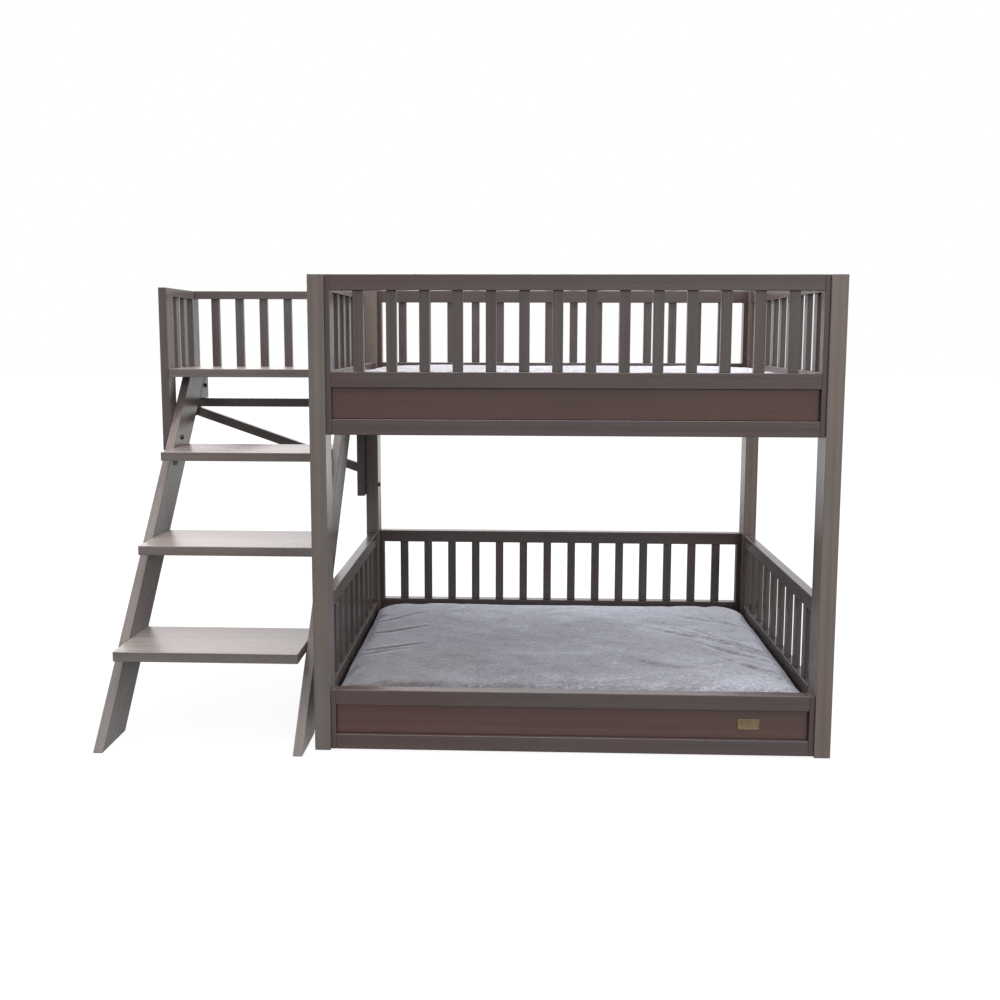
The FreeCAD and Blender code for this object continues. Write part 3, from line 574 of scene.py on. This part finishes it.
GRAIN_TURNS = {"up": (0.0, QUARTER, 0.0), "across": (0.0, 0.0, 0.0), "back": (0.0, 0.0, -QUARTER)}
UPRIGHT = ("post", "slats", "stiles")
BACKWARD = ("side_fascia", "side_top", "side_rail", "upper_left_fascia", "upper_right_fascia",
            "upper_left_top", "upper_right_top", "gussets")
LADDER_PARTS = ("tread_1", "tread_2", "tread_3", "landing_deck", "left_stringer", "right_stringer")
STRINGER_FOOT = 0.087
BRACE_HEIGHT = 0.021


def turn_along(direction):
    """The turn of the grain on a board that runs at a slope."""
    return tuple(direction.rotation_difference(Vector((1.0, 0.0, 0.0))).to_euler())


def box_size(name):
    low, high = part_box(name)
    return high - low


class BUNK_OT_boards(bpy.types.Operator):
    """Gives every board of the bed, the ladder and the landing its stained, grained finish"""
    bl_idname = "bunk.boards"
    bl_label = "Finish boards"

    def execute(self, context):
        boards = settings().bunk_boards
        # each kind's colour, how far its tint drifts and how much it greys to the right
        kinds = {
            "post": (boards.post_colour, 0.5, 0.0),
            "rail": (boards.rail_colour, 0.9, 0.10),
            "slat": (boards.slat_colour, 0.4, 0.0),
            "fascia": (boards.fascia_colour, 0.7, 0.08),
            "step": (boards.step_colour, 0.6, 0.0),
            # the landing's darker copy of the ladder's stain is painted shade
            "landing": (boards.landing_shaded_colour, 0.6, 0.0),
            "deck": (boards.deck_colour, 0.6, 0.0),
        }
        made = {}
        record_slots = {part["node"]: part["material_slot"]
                        for part in frame["record"]["subparts"]}
        for name, node in frame["nodes"].items():
            if not record_slots[name].endswith(("composite", "board")):
                continue
            kind = self.kind_of(name)
            direction, turn = self.lie_of(name)
            key = "%s_stain_%s" % (kind, direction)
            if key not in made:
                colour, warmth, greying = kinds[kind]
                made[key] = board_finish(key, colour, turn, warmth, greying)
            node.data.materials.clear()
            node.data.materials.append(made[key])
        return {"FINISHED"}

    def kind_of(self, name):
        if name in LADDER_PARTS:
            return "step"
        if name.startswith("landing"):
            return "landing"
        if "post" in name:
            return "post"
        if "slats" in name:
            return "slat"
        if name.endswith(("fascia", "fascias")):
            return "fascia"
        return "deck" if "deck" in name else "rail"

    def lie_of(self, name):
        """Which way a board's length runs, and the turn of its grain."""
        if "stringer" in name:
            size = box_size("left_stringer")
            return "sloped", turn_along(Vector((0.0, size.y - STRINGER_FOOT, size.z)))
        if "brace" in name:
            size = box_size("landing_diagonal_brace")
            return "falling", turn_along(Vector((size.x, 0.0, BRACE_HEIGHT - size.z)))
        direction = "across"
        if any(word in name for word in UPRIGHT):
            direction = "up"
        elif any(word in name for word in BACKWARD):
            direction = "back"
        return direction, GRAIN_TURNS[direction]


HEAD_HEIGHT = 0.0035
HEAD_ROUNDING = 0.42
BOLT_SHANK = 0.003
SOCKET_CUT = 0.004
BED_MIDDLE = 0.204


def screw_blank(name, sides, head, shank):
    """A head and shank along X, head to the left of the origin, as one closed turned shape."""
    head_radius, head_height = head
    shank_radius, shank_length = shank
    made = rod(name, sides, head_radius, head_height, -head_height / 2)
    pick_faces(made, lambda middle, normal: normal.x > 0.9)
    bpy.ops.mesh.inset(thickness=head_radius - shank_radius, depth=0.0)
    push(shank_length, 0.0, 0.0)
    leave_edit()
    round_edges(made, lambda a, b: is_near(a.x, -head_height) and is_near(b.x, -head_height),
                head_height * HEAD_ROUNDING, 4, 0.6)
    return made


class BUNK_OT_bolts(bpy.types.Operator):
    """Makes the socket-head bolts that hold the rails, the ladder and the landing"""
    bl_idname = "bunk.bolts"
    bl_label = "Bolts"

    def execute(self, context):
        fittings = settings().bunk_fittings
        steel = metal_finish("bolt_steel_zinc", fittings.steel_colour, 0.34, (60.0, 900.0, 900.0))
        for node in ("frame_bolts", "landing_bolts"):
            parts = []
            blanks = {}
            for low, high in solids_of(node):
                length = high.x - low.x
                radius = (high.z - low.z) / 2
                middle = (low + high) / 2
                key = round(length, 4)
                if key not in blanks:
                    blanks[key] = self.bolt(length, radius, fittings.socket)
                outer_left = node == "landing_bolts" or middle.x < BED_MIDDLE
                turn = Matrix.Identity(4) if outer_left else Matrix.Rotation(math.pi, 4, "Z")
                seat = low.x + HEAD_HEIGHT if outer_left else high.x - HEAD_HEIGHT
                move = Matrix.Translation((seat, middle.y, middle.z)) @ turn
                parts.append(copy_at(blanks[key], move))
            for blank in blanks.values():
                bpy.data.objects.remove(blank)
            fit(parts, node.replace("bolts", "bolt_set"), steel, node)
        return {"FINISHED"}

    def bolt(self, length, radius, socket):
        shank = (BOLT_SHANK, length - HEAD_HEIGHT)
        made = screw_blank("bolt", 24, (radius, HEAD_HEIGHT), shank)
        cut_with(made, rod("socket", 6, socket / 2, SOCKET_CUT, -HEAD_HEIGHT))
        return made


# the cap nut's hexagon as a share of its height, its dome as a share of its radius
COLLAR = 0.5
DOME = 0.78
DOME_CENTRE = 0.45
DOME_REACH = 0.55


class BUNK_OT_cap_nuts(bpy.types.Operator):
    """Makes the domed nuts that close the landing's through bolts"""
    bl_idname = "bunk.cap_nuts"
    bl_label = "Cap nuts"

    def execute(self, context):
        fittings = settings().bunk_fittings
        bronze = metal_finish("cap_nut_bronze", fittings.nut_colour, 0.34,
                              (300.0,) * 3)
        parts = []
        for low, high in solids_of("cap_nuts"):
            nut = self.nut((high.z - low.z) / 2, high.x - low.x)
            middle = (low + high) / 2
            nut.data.transform(Matrix.Translation((low.x, middle.y, middle.z)))
            parts.append(nut)
        fit(parts, "cap_nut_set", bronze, "cap_nuts")
        return {"FINISHED"}

    def nut(self, radius, height):
        collar = rod("collar", 6, radius, height * COLLAR, height * COLLAR / 2)
        pick_faces(collar, lambda middle, normal: normal.x > 0.9)
        bpy.ops.mesh.inset(thickness=radius * 0.14, depth=height * 0.06)
        leave_edit()
        finish_with(collar, "BEVEL", width=0.0003, segments=2)
        dome = primitive(bpy.ops.mesh.primitive_uv_sphere_add, "dome", segments=24,
                         ring_count=16, radius=radius * DOME,
                         location=(height * DOME_CENTRE, 0.0, 0.0), rotation=(0.0, QUARTER, 0.0))
        dome.scale = (1.0, 1.0, height * DOME_REACH / (radius * DOME))
        settle(dome)
        return joined([collar, dome], "nut")


ONE_SIDE = 0.1
BRACKET_CORNER = 0.004
SHEET_EDGE = 0.0003


class BUNK_OT_brackets(bpy.types.Operator):
    """Bends the steel angles that carry the treads"""
    bl_idname = "bunk.brackets"
    bl_label = "Tread brackets"

    def execute(self, context):
        fittings = settings().bunk_fittings
        steel = metal_finish("bracket_steel_lacquered", fittings.bracket_colour, 0.38,
                             (420.0,) * 3, 0.85, 0.7)
        boxes = solids_of("tread_brackets")
        leftmost = min(low.x for low, high in boxes)
        parts = [self.angle(low, high, low.x < leftmost + ONE_SIDE, fittings)
                 for low, high in boxes]
        fit(parts, "tread_bracket_set", steel, "tread_brackets")
        return {"FINISHED"}

    def angle(self, low, high, on_left, fittings):
        leg = high.x - low.x
        width = high.y - low.y
        wall = low.x if on_left else high.x
        made = primitive(bpy.ops.mesh.primitive_plane_add, "angle", size=1.0,
                         location=((low.x + high.x) / 2, (low.y + high.y) / 2, high.z))
        made.scale = (leg, width, 1.0)
        settle(made)
        pick_edges(made, lambda a, b: is_near(a.x, wall) and is_near(b.x, wall))
        push(0.0, 0.0, low.z - high.z)
        leave_edit()
        round_edges(made, lambda a, b: is_near(a.x, wall) and is_near(b.x, wall)
                    and is_near(a.z, high.z) and is_near(b.z, high.z), fittings.bend, 5)
        free = high.x if on_left else low.x
        pick(made, "VERT", lambda mesh: [
            (point, is_near(point.co.x, free) or is_near(point.co.z, low.z))
            for point in mesh.vertices])
        bpy.ops.mesh.bevel(offset=BRACKET_CORNER, segments=4, affect="VERTICES")
        leave_edit()
        pick(made, "FACE", lambda mesh: [(face, True) for face in mesh.polygons])
        bpy.ops.mesh.normals_make_consistent(inside=False)
        leave_edit()
        up = sum(face.normal.z * face.area for face in made.data.polygons)
        finish_with(made, "SOLIDIFY", thickness=fittings.sheet_thickness,
                    offset=-1.0 if up > 0 else 1.0)
        finish_with(made, "BEVEL", width=SHEET_EDGE, segments=2)
        return made


SCREW_HEAD = 0.0016
SCREW_SHANK = 0.0018
CROSS_DEPTH = 0.0016


class BUNK_OT_screws(bpy.types.Operator):
    """Makes the cross-recessed screws in the tread brackets"""
    bl_idname = "bunk.screws"
    bl_label = "Bracket screws"

    def execute(self, context):
        fittings = settings().bunk_fittings
        steel = metal_finish("screw_steel_zinc", fittings.steel_colour, 0.3,
                             (700.0,) * 3)
        parts = []
        blank = None
        set_low, set_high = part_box("tread_screws")
        for low, high in solids_of("tread_screws"):
            size = high - low
            middle = (low + high) / 2
            if blank is None:
                blank = self.screw(max(size), min(size) / 2)
            if size.z > size.x:
                seat = (middle.x, middle.y, low.z + SCREW_HEAD)
                turn = Matrix.Rotation(-QUARTER, 4, "Y")
            elif middle.x < (set_low.x + set_high.x) / 2:
                seat = (high.x - SCREW_HEAD, middle.y, middle.z)
                turn = Matrix.Rotation(math.pi, 4, "Z")
            else:
                seat = (low.x + SCREW_HEAD, middle.y, middle.z)
                turn = Matrix.Identity(4)
            parts.append(copy_at(blank, Matrix.Translation(seat) @ turn))
        bpy.data.objects.remove(blank)
        fit(parts, "tread_screw_set", steel, "tread_screws")
        return {"FINISHED"}

    def screw(self, length, radius):
        shank = (SCREW_SHANK, length - SCREW_HEAD)
        made = screw_blank("screw", 20, (radius, SCREW_HEAD), shank)
        for turn in (0.0, QUARTER):
            slot = primitive(bpy.ops.mesh.primitive_cube_add, "slot", size=1.0,
                             location=(-SCREW_HEAD, 0.0, 0.0), rotation=(turn, 0.0, 0.0))
            slot.scale = (CROSS_DEPTH, radius * 1.15, radius * 0.24)
            settle(slot)
            cut_with(made, slot)
        return made


GLIDE_ROUNDING = 0.0009
GLIDE_HOLLOW = 0.0008


class BUNK_OT_glides(bpy.types.Operator):
    """Makes the plastic discs that the four posts stand on"""
    bl_idname = "bunk.glides"
    bl_label = "Foot glides"

    def execute(self, context):
        plastic = plastic_finish("glide_black_plastic", settings().bunk_fittings.glide_colour)
        parts = []
        for low, high in solids_of("foot_glides"):
            radius = (high.x - low.x) / 2
            made = primitive(bpy.ops.mesh.primitive_cylinder_add, "glide", vertices=40,
                             radius=radius, depth=high.z - low.z, location=(low + high) / 2)
            settle(made)
            round_edges(made, lambda a, b: is_near(a.z, low.z) and is_near(b.z, low.z),
                        GLIDE_ROUNDING, 3)
            pick_faces(made, lambda middle, normal: normal.z < -0.99)
            bpy.ops.mesh.inset(thickness=radius * 0.45)
            push(0.0, 0.0, GLIDE_HOLLOW)
            leave_edit()
            parts.append(made)
        fit(parts, "foot_glide_set", plastic, "foot_glides")
        return {"FINISHED"}


PLATE_CORNER = 0.0022
PLATE_BORDER = 0.0012
PLATE_STEP = 0.0003
PLATE_FIELD_DEPTH = 0.00045
PLATE_EDGE = 0.00018
PIN_RADIUS = 0.00105
PIN_FROM_END = 0.0036
PIN_DEPTH = 0.00055


class BUNK_OT_plate(bpy.types.Operator):
    """Makes the blank metal plate with a raised border on the lower front panel"""
    bl_idname = "bunk.plate"
    bl_label = "Blank plate"

    def execute(self, context):
        fittings = settings().bunk_fittings
        bronze = metal_finish("plate_bronze", fittings.plate_colour, 0.36,
                              (60.0, 900.0, 1400.0), stains=0.8)
        low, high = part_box("name_plate")
        made = primitive(bpy.ops.mesh.primitive_cube_add, "plate", size=1.0,
                         location=(low + high) / 2)
        made.scale = high - low
        settle(made)
        round_edges(made, lambda a, b: abs(a.y - b.y) > 1e-4, PLATE_CORNER, 5)
        pick_faces(made, lambda middle, normal: normal.y < -0.9)
        bpy.ops.mesh.inset(thickness=PLATE_BORDER)
        bpy.ops.mesh.inset(thickness=PLATE_STEP)
        push(0.0, PLATE_FIELD_DEPTH, 0.0)
        leave_edit()
        finish_with(made, "BEVEL", width=PLATE_EDGE, segments=2, limit_method="ANGLE")
        parts = [made]
        centre = (low + high) / 2
        for side in (-1.0, 1.0):
            across = centre.x + side * ((high.x - low.x) / 2 - PIN_FROM_END)
            pin = primitive(bpy.ops.mesh.primitive_uv_sphere_add, "pin", segments=20,
                            ring_count=12, radius=PIN_RADIUS,
                            location=(across, low.y + PIN_DEPTH, centre.z))
            pin.scale = (1.0, 0.5, 1.0)
            settle(pin)
            parts.append(pin)
        fit(parts, "blank_plate", bronze, "name_plate")
        return {"FINISHED"}


# ---- the cushions

# each crease: start and end as shares of the cushion's half length and half width, width and depth
LOWER_CREASES = (
    ((-0.99, -0.30), (-0.62, -0.16), 0.0042, 0.0016),
    ((-0.99, -0.38), (-0.70, -0.26), 0.0036, 0.0013),
    ((-0.97, 0.10), (-0.64, 0.24), 0.0046, 0.0015),
    ((-0.95, 0.36), (-0.70, 0.56), 0.0050, 0.0012),
    ((0.40, 0.30), (0.94, -0.22), 0.0060, 0.0022),
    ((0.52, 0.30), (0.98, -0.34), 0.0046, 0.0019),
    ((0.62, 0.28), (0.99, -0.40), 0.0042, 0.0019),
    ((0.58, 0.02), (0.99, -0.56), 0.0052, 0.0022),
    ((0.70, 0.06), (0.99, -0.44), 0.0038, 0.0016),
    ((0.66, -0.30), (0.99, -0.76), 0.0050, 0.0018),
    ((0.74, -0.36), (0.99, -0.92), 0.0042, 0.0015),
    ((0.56, 0.62), (0.92, 0.30), 0.0060, 0.0014),
    ((0.72, 0.60), (0.98, 0.16), 0.0044, 0.0016),
    ((0.30, -0.44), (0.62, -0.62), 0.0070, 0.0010),
)
UPPER_CREASES = (
    ((-0.96, 0.30), (-0.62, 0.10), 0.0090, 0.0033),
    ((-0.97, -0.20), (-0.66, -0.26), 0.0080, 0.0029),
    ((-0.95, 0.66), (-0.72, 0.50), 0.0075, 0.0026),
    ((0.58, 0.42), (0.97, 0.20), 0.0090, 0.0033),
    ((0.62, -0.10), (0.98, -0.36), 0.0085, 0.0031),
    ((0.68, -0.56), (0.97, -0.80), 0.0070, 0.0027),
)
LOWER_TOP_RISE = 0.0045
LOWER_BACK_RISE = 0.002
UPPER_TOP_RISE = 0.0005
FRONT_SLUMP = 0.007
END_SLUMP = 0.004
TOP_EASE = 0.0015
FIRM_SIDES = 0.05
SIDE_SOFTNESS = 0.0025
SEAM_HEIGHT = 0.0036
CREASE_BEND = 0.006

# the unfilled cover's roundings: its back corners, front corners and rims
BACK_CORNER = 0.042
FRONT_CORNER = 0.007
RIM = 0.011
CLOTH = {"quality": 4, "mass": 0.3, "tension_stiffness": 14.0, "compression_stiffness": 14.0,
         "bending_stiffness": 0.6, "use_pressure": True}
# slow waves over the top: height, direction, length and phase
RIPPLES = (
    (0.0008, (1.0, 0.6, 0.0), 0.31, 0.4),
    (0.0006, (0.5, -1.0, 0.0), 0.22, 1.7),
    (0.00015, (1.0, 1.7, 0.0), 0.11, 2.9),
)


def set_points(mesh, places):
    mesh.vertices.foreach_set("co", np.ascontiguousarray(places, dtype=np.float32).ravel())
    mesh.update()


def wave(places, height, direction, length, phase):
    return height * np.sin(places @ np.array(direction) * (2 * math.pi / length) + phase)


class BUNK_OT_cushions(bpy.types.Operator):
    """Sews and fills the two plush cushions"""
    bl_idname = "bunk.cushions"
    bl_label = "Plush cushions"

    def execute(self, context):
        cushions = settings().bunk_cushions
        # the lower cover carries the full painted light and shade across the cushion
        lower = plush_finish("lower_cushion_plush", cushions.plush_colour, painted_light_share=1.0)
        # the upper cover: its paler colour is painted light, with a quarter of the painted light
        # and shade across it
        upper = plush_finish("upper_cushion_plush", cushions.upper_lit_plush_colour, painted_light_share=0.25)
        filled = self.filled_cushion("lower_cushion")
        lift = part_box("upper_cushion")[0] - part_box("lower_cushion")[0]
        other = copy_at(filled, Matrix.Translation(lift))
        self.finish(filled, "lower_cushion", "lower_pad", lower,
                    (LOWER_CREASES, LOWER_TOP_RISE, LOWER_BACK_RISE))
        self.finish(other, "upper_cushion", "upper_pad", upper,
                    (UPPER_CREASES, UPPER_TOP_RISE, 0.0))
        return {"FINISHED"}

    def finish(self, thing, node, body, cover, lie):
        call_it(thing, node.replace("cushion", "plush_cushion"))
        self.shape(thing, node, *lie)
        smooth(thing, 180.0)
        hand_over(thing, cover, body, node)

    def filled_cushion(self, node):
        """A rounded slab a little under size, turned into cloth and filled until it swells."""
        cushions = settings().bunk_cushions
        low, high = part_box(node)
        size = high - low - Vector((1.0, 1.0, 1.0)) * (2 * cushions.shrink)
        made = primitive(bpy.ops.mesh.primitive_cube_add, "cushion", size=1.0,
                         location=(low + high) / 2)
        made.scale = size
        settle(made)
        for wanted, offset, segments in (
                (lambda a, b: abs(a.z - b.z) > 1e-4 and a.y > 0, BACK_CORNER, 8),
                (lambda a, b: abs(a.z - b.z) > 1e-4 and a.y < -0.2, FRONT_CORNER, 3),
                (lambda a, b: is_near(a.z, b.z), RIM, 4)):
            round_edges(made, wanted, offset, segments)
        finish_with(made, "REMESH", mode="VOXEL", voxel_size=cushions.voxel)
        rest = mesh_points(made.data)
        cloth = made.modifiers.new("Cloth", "CLOTH")
        for option, value in CLOTH.items():
            setattr(cloth.settings, option, value)
        cloth.settings.uniform_pressure_force = cushions.pressure
        cloth.settings.effector_weights.gravity = 0.0
        cloth.collision_settings.use_collision = False
        cloth.point_cache.frame_start = 1
        cloth.point_cache.frame_end = cushions.frames
        for step in range(1, cushions.frames + 1):
            bpy.context.scene.frame_set(step)
        select_only(made)
        bpy.ops.object.modifier_apply(modifier=cloth.name)
        bpy.context.scene.frame_set(1)
        moved = mesh_points(made.data) - rest
        far = np.linalg.norm(moved, axis=1)
        limit = np.minimum(1.0, cushions.reach / np.maximum(far, 1e-9))
        set_points(made.data, rest + moved * limit[:, None])
        return made

    def shape(self, thing, node, creases, top_rise, back_rise):
        """Settles the cushion between its rails and adds the creases and the side seam."""
        cushions = settings().bunk_cushions
        finish_with(thing, "SUBSURF", levels=1, render_levels=1)
        low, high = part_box(node)
        middle = (low + high) / 2
        half = (high - low) / 2
        places = mesh_points(thing.data)
        across = (places[:, 0] - middle.x) / half.x
        back = (places[:, 1] - middle.y) / half.y
        up = np.clip((places[:, 2] - middle.z) / half.z, -1.0, 1.0)
        top = np.clip(up, 0.0, 1.0) ** 1.5
        for axis, centre, reach_out in ((0, middle.x, half.x), (1, middle.y, half.y)):
            limit = reach_out + cushions.spread
            stretched = (places[:, axis] - centre) * (1 + FIRM_SIDES * limit / reach_out)
            short = np.logaddexp(0.0, (limit - np.abs(stretched)) / SIDE_SOFTNESS) * SIDE_SOFTNESS
            places[:, axis] = centre + np.sign(stretched) * (limit - short)
        tallest = places[:, 2].max() - low.z
        places[:, 2] = low.z + (places[:, 2] - low.z) * (high.z - low.z + top_rise) / tallest
        slump = FRONT_SLUMP * np.clip(-back - 0.35, 0, 1) / 0.65
        slump += END_SLUMP * np.clip(np.abs(across) - 0.7, 0, 1) / 0.3
        ripple = sum(wave(places, *ripples) for ripples in RIPPLES)
        lifted = back_rise * np.clip(back - 0.2, 0, 1) ** 1.5
        places[:, 2] += top * (ripple - slump - TOP_EASE + lifted)
        for start, end, width, depth in creases:
            places[:, 2] -= top * self.crease(across, back, half, start, end, width, depth)
        reach = np.hypot(places[:, 0] - middle.x, places[:, 1] - middle.y)
        inward = np.stack([middle.x - places[:, 0], middle.y - places[:, 1]], 1)
        inward /= np.maximum(reach, 1e-6)[:, None]
        along = np.arctan2(back, across)
        pucker = 1 + 0.35 * np.sin(along * 190) + 0.2 * np.sin(along * 61 + 1.0)
        seam = np.exp(-((places[:, 2] - middle.z) / SEAM_HEIGHT) ** 2)
        side = np.clip(np.maximum(np.abs(across), np.abs(back)) - 0.8, 0, 0.15) / 0.15
        places[:, :2] += inward * (cushions.seam * seam * pucker * side)[:, None]
        places[:, 2] = np.maximum(places[:, 2], low.z)
        set_points(thing.data, places)

    def crease(self, across, back, half, start, end, width, depth):
        """A soft valley with a raised lip beside it, fading out at both ends."""
        x, y = across * half.x, back * half.y
        ax, ay = start[0] * half.x, start[1] * half.y
        bx, by = end[0] * half.x, end[1] * half.y
        length = math.hypot(bx - ax, by - ay)
        ux, uy = (bx - ax) / length, (by - ay) / length
        along = ((x - ax) * ux + (y - ay) * uy) / length
        off = -(x - ax) * uy + (y - ay) * ux + CREASE_BEND * np.sin(along * 5.0)
        fade = np.clip(np.sin(np.clip(along, 0, 1) * math.pi), 0, 1) ** 0.7
        valley = np.exp(-(off / width) ** 2)
        lip = 0.75 * np.exp(-((off - 1.7 * width) / (1.2 * width)) ** 2)
        return depth * fade * (valley - lip)


# ---- the stage

class BUNK_OT_stage(bpy.types.Operator):
    """Sets the pale floor, the white room, the softbox above and the camera"""
    bl_idname = "bunk.stage"
    bl_label = "Stage"

    def execute(self, context):
        stage = settings().bunk_stage
        scene = context.scene
        scene.view_settings.view_transform = "Standard"
        self.room(scene, stage)
        floor = primitive(bpy.ops.mesh.primitive_circle_add, "pale_floor", vertices=96,
                          radius=16.0, fill_type="NGON", location=(0.0, 0.0, 0.0))
        floor.data.materials.append(self.floor_finish(stage))
        self.softbox("softbox_above", stage.top_light, (0.0, 0.15, 2.9),
                     (0.0, 0.0, 0.0), (2.4, 1.8))
        front = self.softbox("softbox_front", stage.front_light, (1.7, -2.7, 1.5),
                             (1.20, 0.0, 0.48), (1.8, 0.25))
        front.visible_glossy = False
        lens = bpy.data.cameras.new("camera")
        lens.sensor_width = 36.0
        lens.lens = stage.focal
        lens.shift_y = stage.rise
        camera = bpy.data.objects.new("camera", lens)
        camera.location = stage.eye
        camera.rotation_euler = stage.turn
        scene.collection.objects.link(camera)
        scene.camera = camera
        return {"FINISHED"}

    def lean(self, tree, way, amount):
        """Brighter towards one end of a direction and as much darker towards the other."""
        return remap(tree, way, -1.0, 1.0, 1.0 - amount, 1.0 + amount)

    def room(self, scene, stage):
        """An overcast room: brighter overhead and at the back, warmer on the left."""
        world = bpy.data.worlds.new("white_room")
        world.use_nodes = True
        tree = world.node_tree
        tree.nodes.clear()
        way = add_node(tree, "ShaderNodeTexCoord").outputs["Generated"]
        parts = add_node(tree, "ShaderNodeSeparateXYZ", {"Vector": way}).outputs
        overhead = remap(tree, parts["Z"], 0.0, 1.0, 1.0, 1.0 + stage.zenith)
        corner = arithmetic(tree, "MULTIPLY", parts["X"], parts["Y"])
        cross = remap(tree, corner, -0.5, 0.5, 1.0 + stage.cross_light, 1.0 - stage.cross_light)
        light = product(tree, overhead, self.lean(tree, parts["X"], stage.right_light),
                        self.lean(tree, parts["Y"], stage.back_light), cross, stage.sky)
        tint = blend_colour(tree, remap(tree, parts["X"], -1.0, 1.0, 0.0, 1.0),
                            tinted(stage.warm_side), tinted(stage.cool_side))
        lit = add_node(tree, "ShaderNodeBackground", {"Color": tint, "Strength": light})
        plain = add_node(tree, "ShaderNodeBackground", {
            "Color": (1.0, 1.0, 1.0, 1.0), "Strength": 1.0})
        seen = add_node(tree, "ShaderNodeLightPath").outputs["Is Camera Ray"]
        both = add_node(tree, "ShaderNodeMixShader", {
            0: seen, 1: lit.outputs[0], 2: plain.outputs[0]})
        add_node(tree, "ShaderNodeOutputWorld", {"Surface": both.outputs[0]})
        scene.world = world

    def floor_finish(self, stage):
        """A pale floor that shows soft shadows and sends only a little light back up."""
        material, tree, shader, here = new_finish("floor_pale", {
            "Roughness": 0.9, "Specular IOR Level": 0.1, "Emission Color": (1.0, 1.0, 1.0, 1.0),
            "Emission Strength": stage.floor_white})
        mottle = noise(tree, here, (3.0,) * 3, 3.0)
        tint = remap(tree, mottle, 0.3, 0.7, 0.056, 0.062)
        tree.links.new(grey_colour(tree, tint), shader.inputs["Base Color"])
        bounce = add_node(tree, "ShaderNodeBsdfDiffuse", {
            "Color": tinted((stage.floor_bounce,) * 3)})
        ray = add_node(tree, "ShaderNodeLightPath").outputs
        back = add_node(tree, "ShaderNodeSeparateXYZ", {"Vector": here}).outputs["Y"]
        near = remap(tree, back, -0.3, 0.4, stage.floor_near, stage.floor_middle)
        far = remap(tree, back, 1.2, 2.8, 0.0, stage.floor_far)
        mirrored = add_node(tree, "ShaderNodeEmission", {
            "Strength": arithmetic(tree, "ADD", near, far)})
        unseen = add_node(tree, "ShaderNodeMixShader", {
            0: ray["Is Glossy Ray"], 1: bounce.outputs[0], 2: mirrored.outputs[0]})
        both = add_node(tree, "ShaderNodeMixShader", {
            0: ray["Is Camera Ray"], 1: unseen.outputs[0], 2: shader.outputs[0]})
        output = next(n for n in tree.nodes if n.type == "OUTPUT_MATERIAL")
        tree.links.new(both.outputs[0], output.inputs["Surface"])
        return material

    def softbox(self, name, power, place, turn, size):
        light = bpy.data.lights.new(name, "AREA")
        light.shape = "RECTANGLE"
        light.size, light.size_y = size
        light.energy = power
        holder = bpy.data.objects.new(name, light)
        holder.location = place
        holder.rotation_euler = turn
        bpy.context.scene.collection.objects.link(holder)
        return holder


# ---- the panel

class BUNK_PT_panel(bpy.types.Panel):
    """Sizes, colours and steps of the bunk bed"""
    bl_idname = "BUNK_PT_panel"
    bl_label = "Bunk Bed"
    bl_space_type = "VIEW_3D"
    bl_region_type = "UI"
    bl_category = "Bunk Bed"

    def draw(self, context):
        for group in GROUPS:
            box = self.layout.box()
            values = getattr(context.scene, group)
            for name in values.__annotations__:
                box.prop(values, name)
        for step in STEPS:
            self.layout.operator(step.bl_idname)


GROUPS = {"bunk_boards": BoardSettings, "bunk_cushions": CushionSettings,
          "bunk_fittings": FittingSettings, "bunk_stage": StageSettings}
STEPS = (BUNK_OT_stage, BUNK_OT_boards, BUNK_OT_bolts, BUNK_OT_cap_nuts, BUNK_OT_brackets,
         BUNK_OT_screws, BUNK_OT_glides, BUNK_OT_plate, BUNK_OT_cushions)
CLASSES = (*GROUPS.values(), *STEPS, BUNK_PT_panel)


def register():
    for one in CLASSES:
        bpy.utils.register_class(one)
    for name, group in GROUPS.items():
        setattr(bpy.types.Scene, name, PointerProperty(type=group))


def unregister():
    for name in GROUPS:
        delattr(bpy.types.Scene, name)
    for one in reversed(CLASSES):
        bpy.utils.unregister_class(one)


def main():
    register()
    for step in STEPS:
        family, name = step.bl_idname.split(".")
        getattr(getattr(bpy.ops, family), name)()


if __name__ == "__main__":
    main()
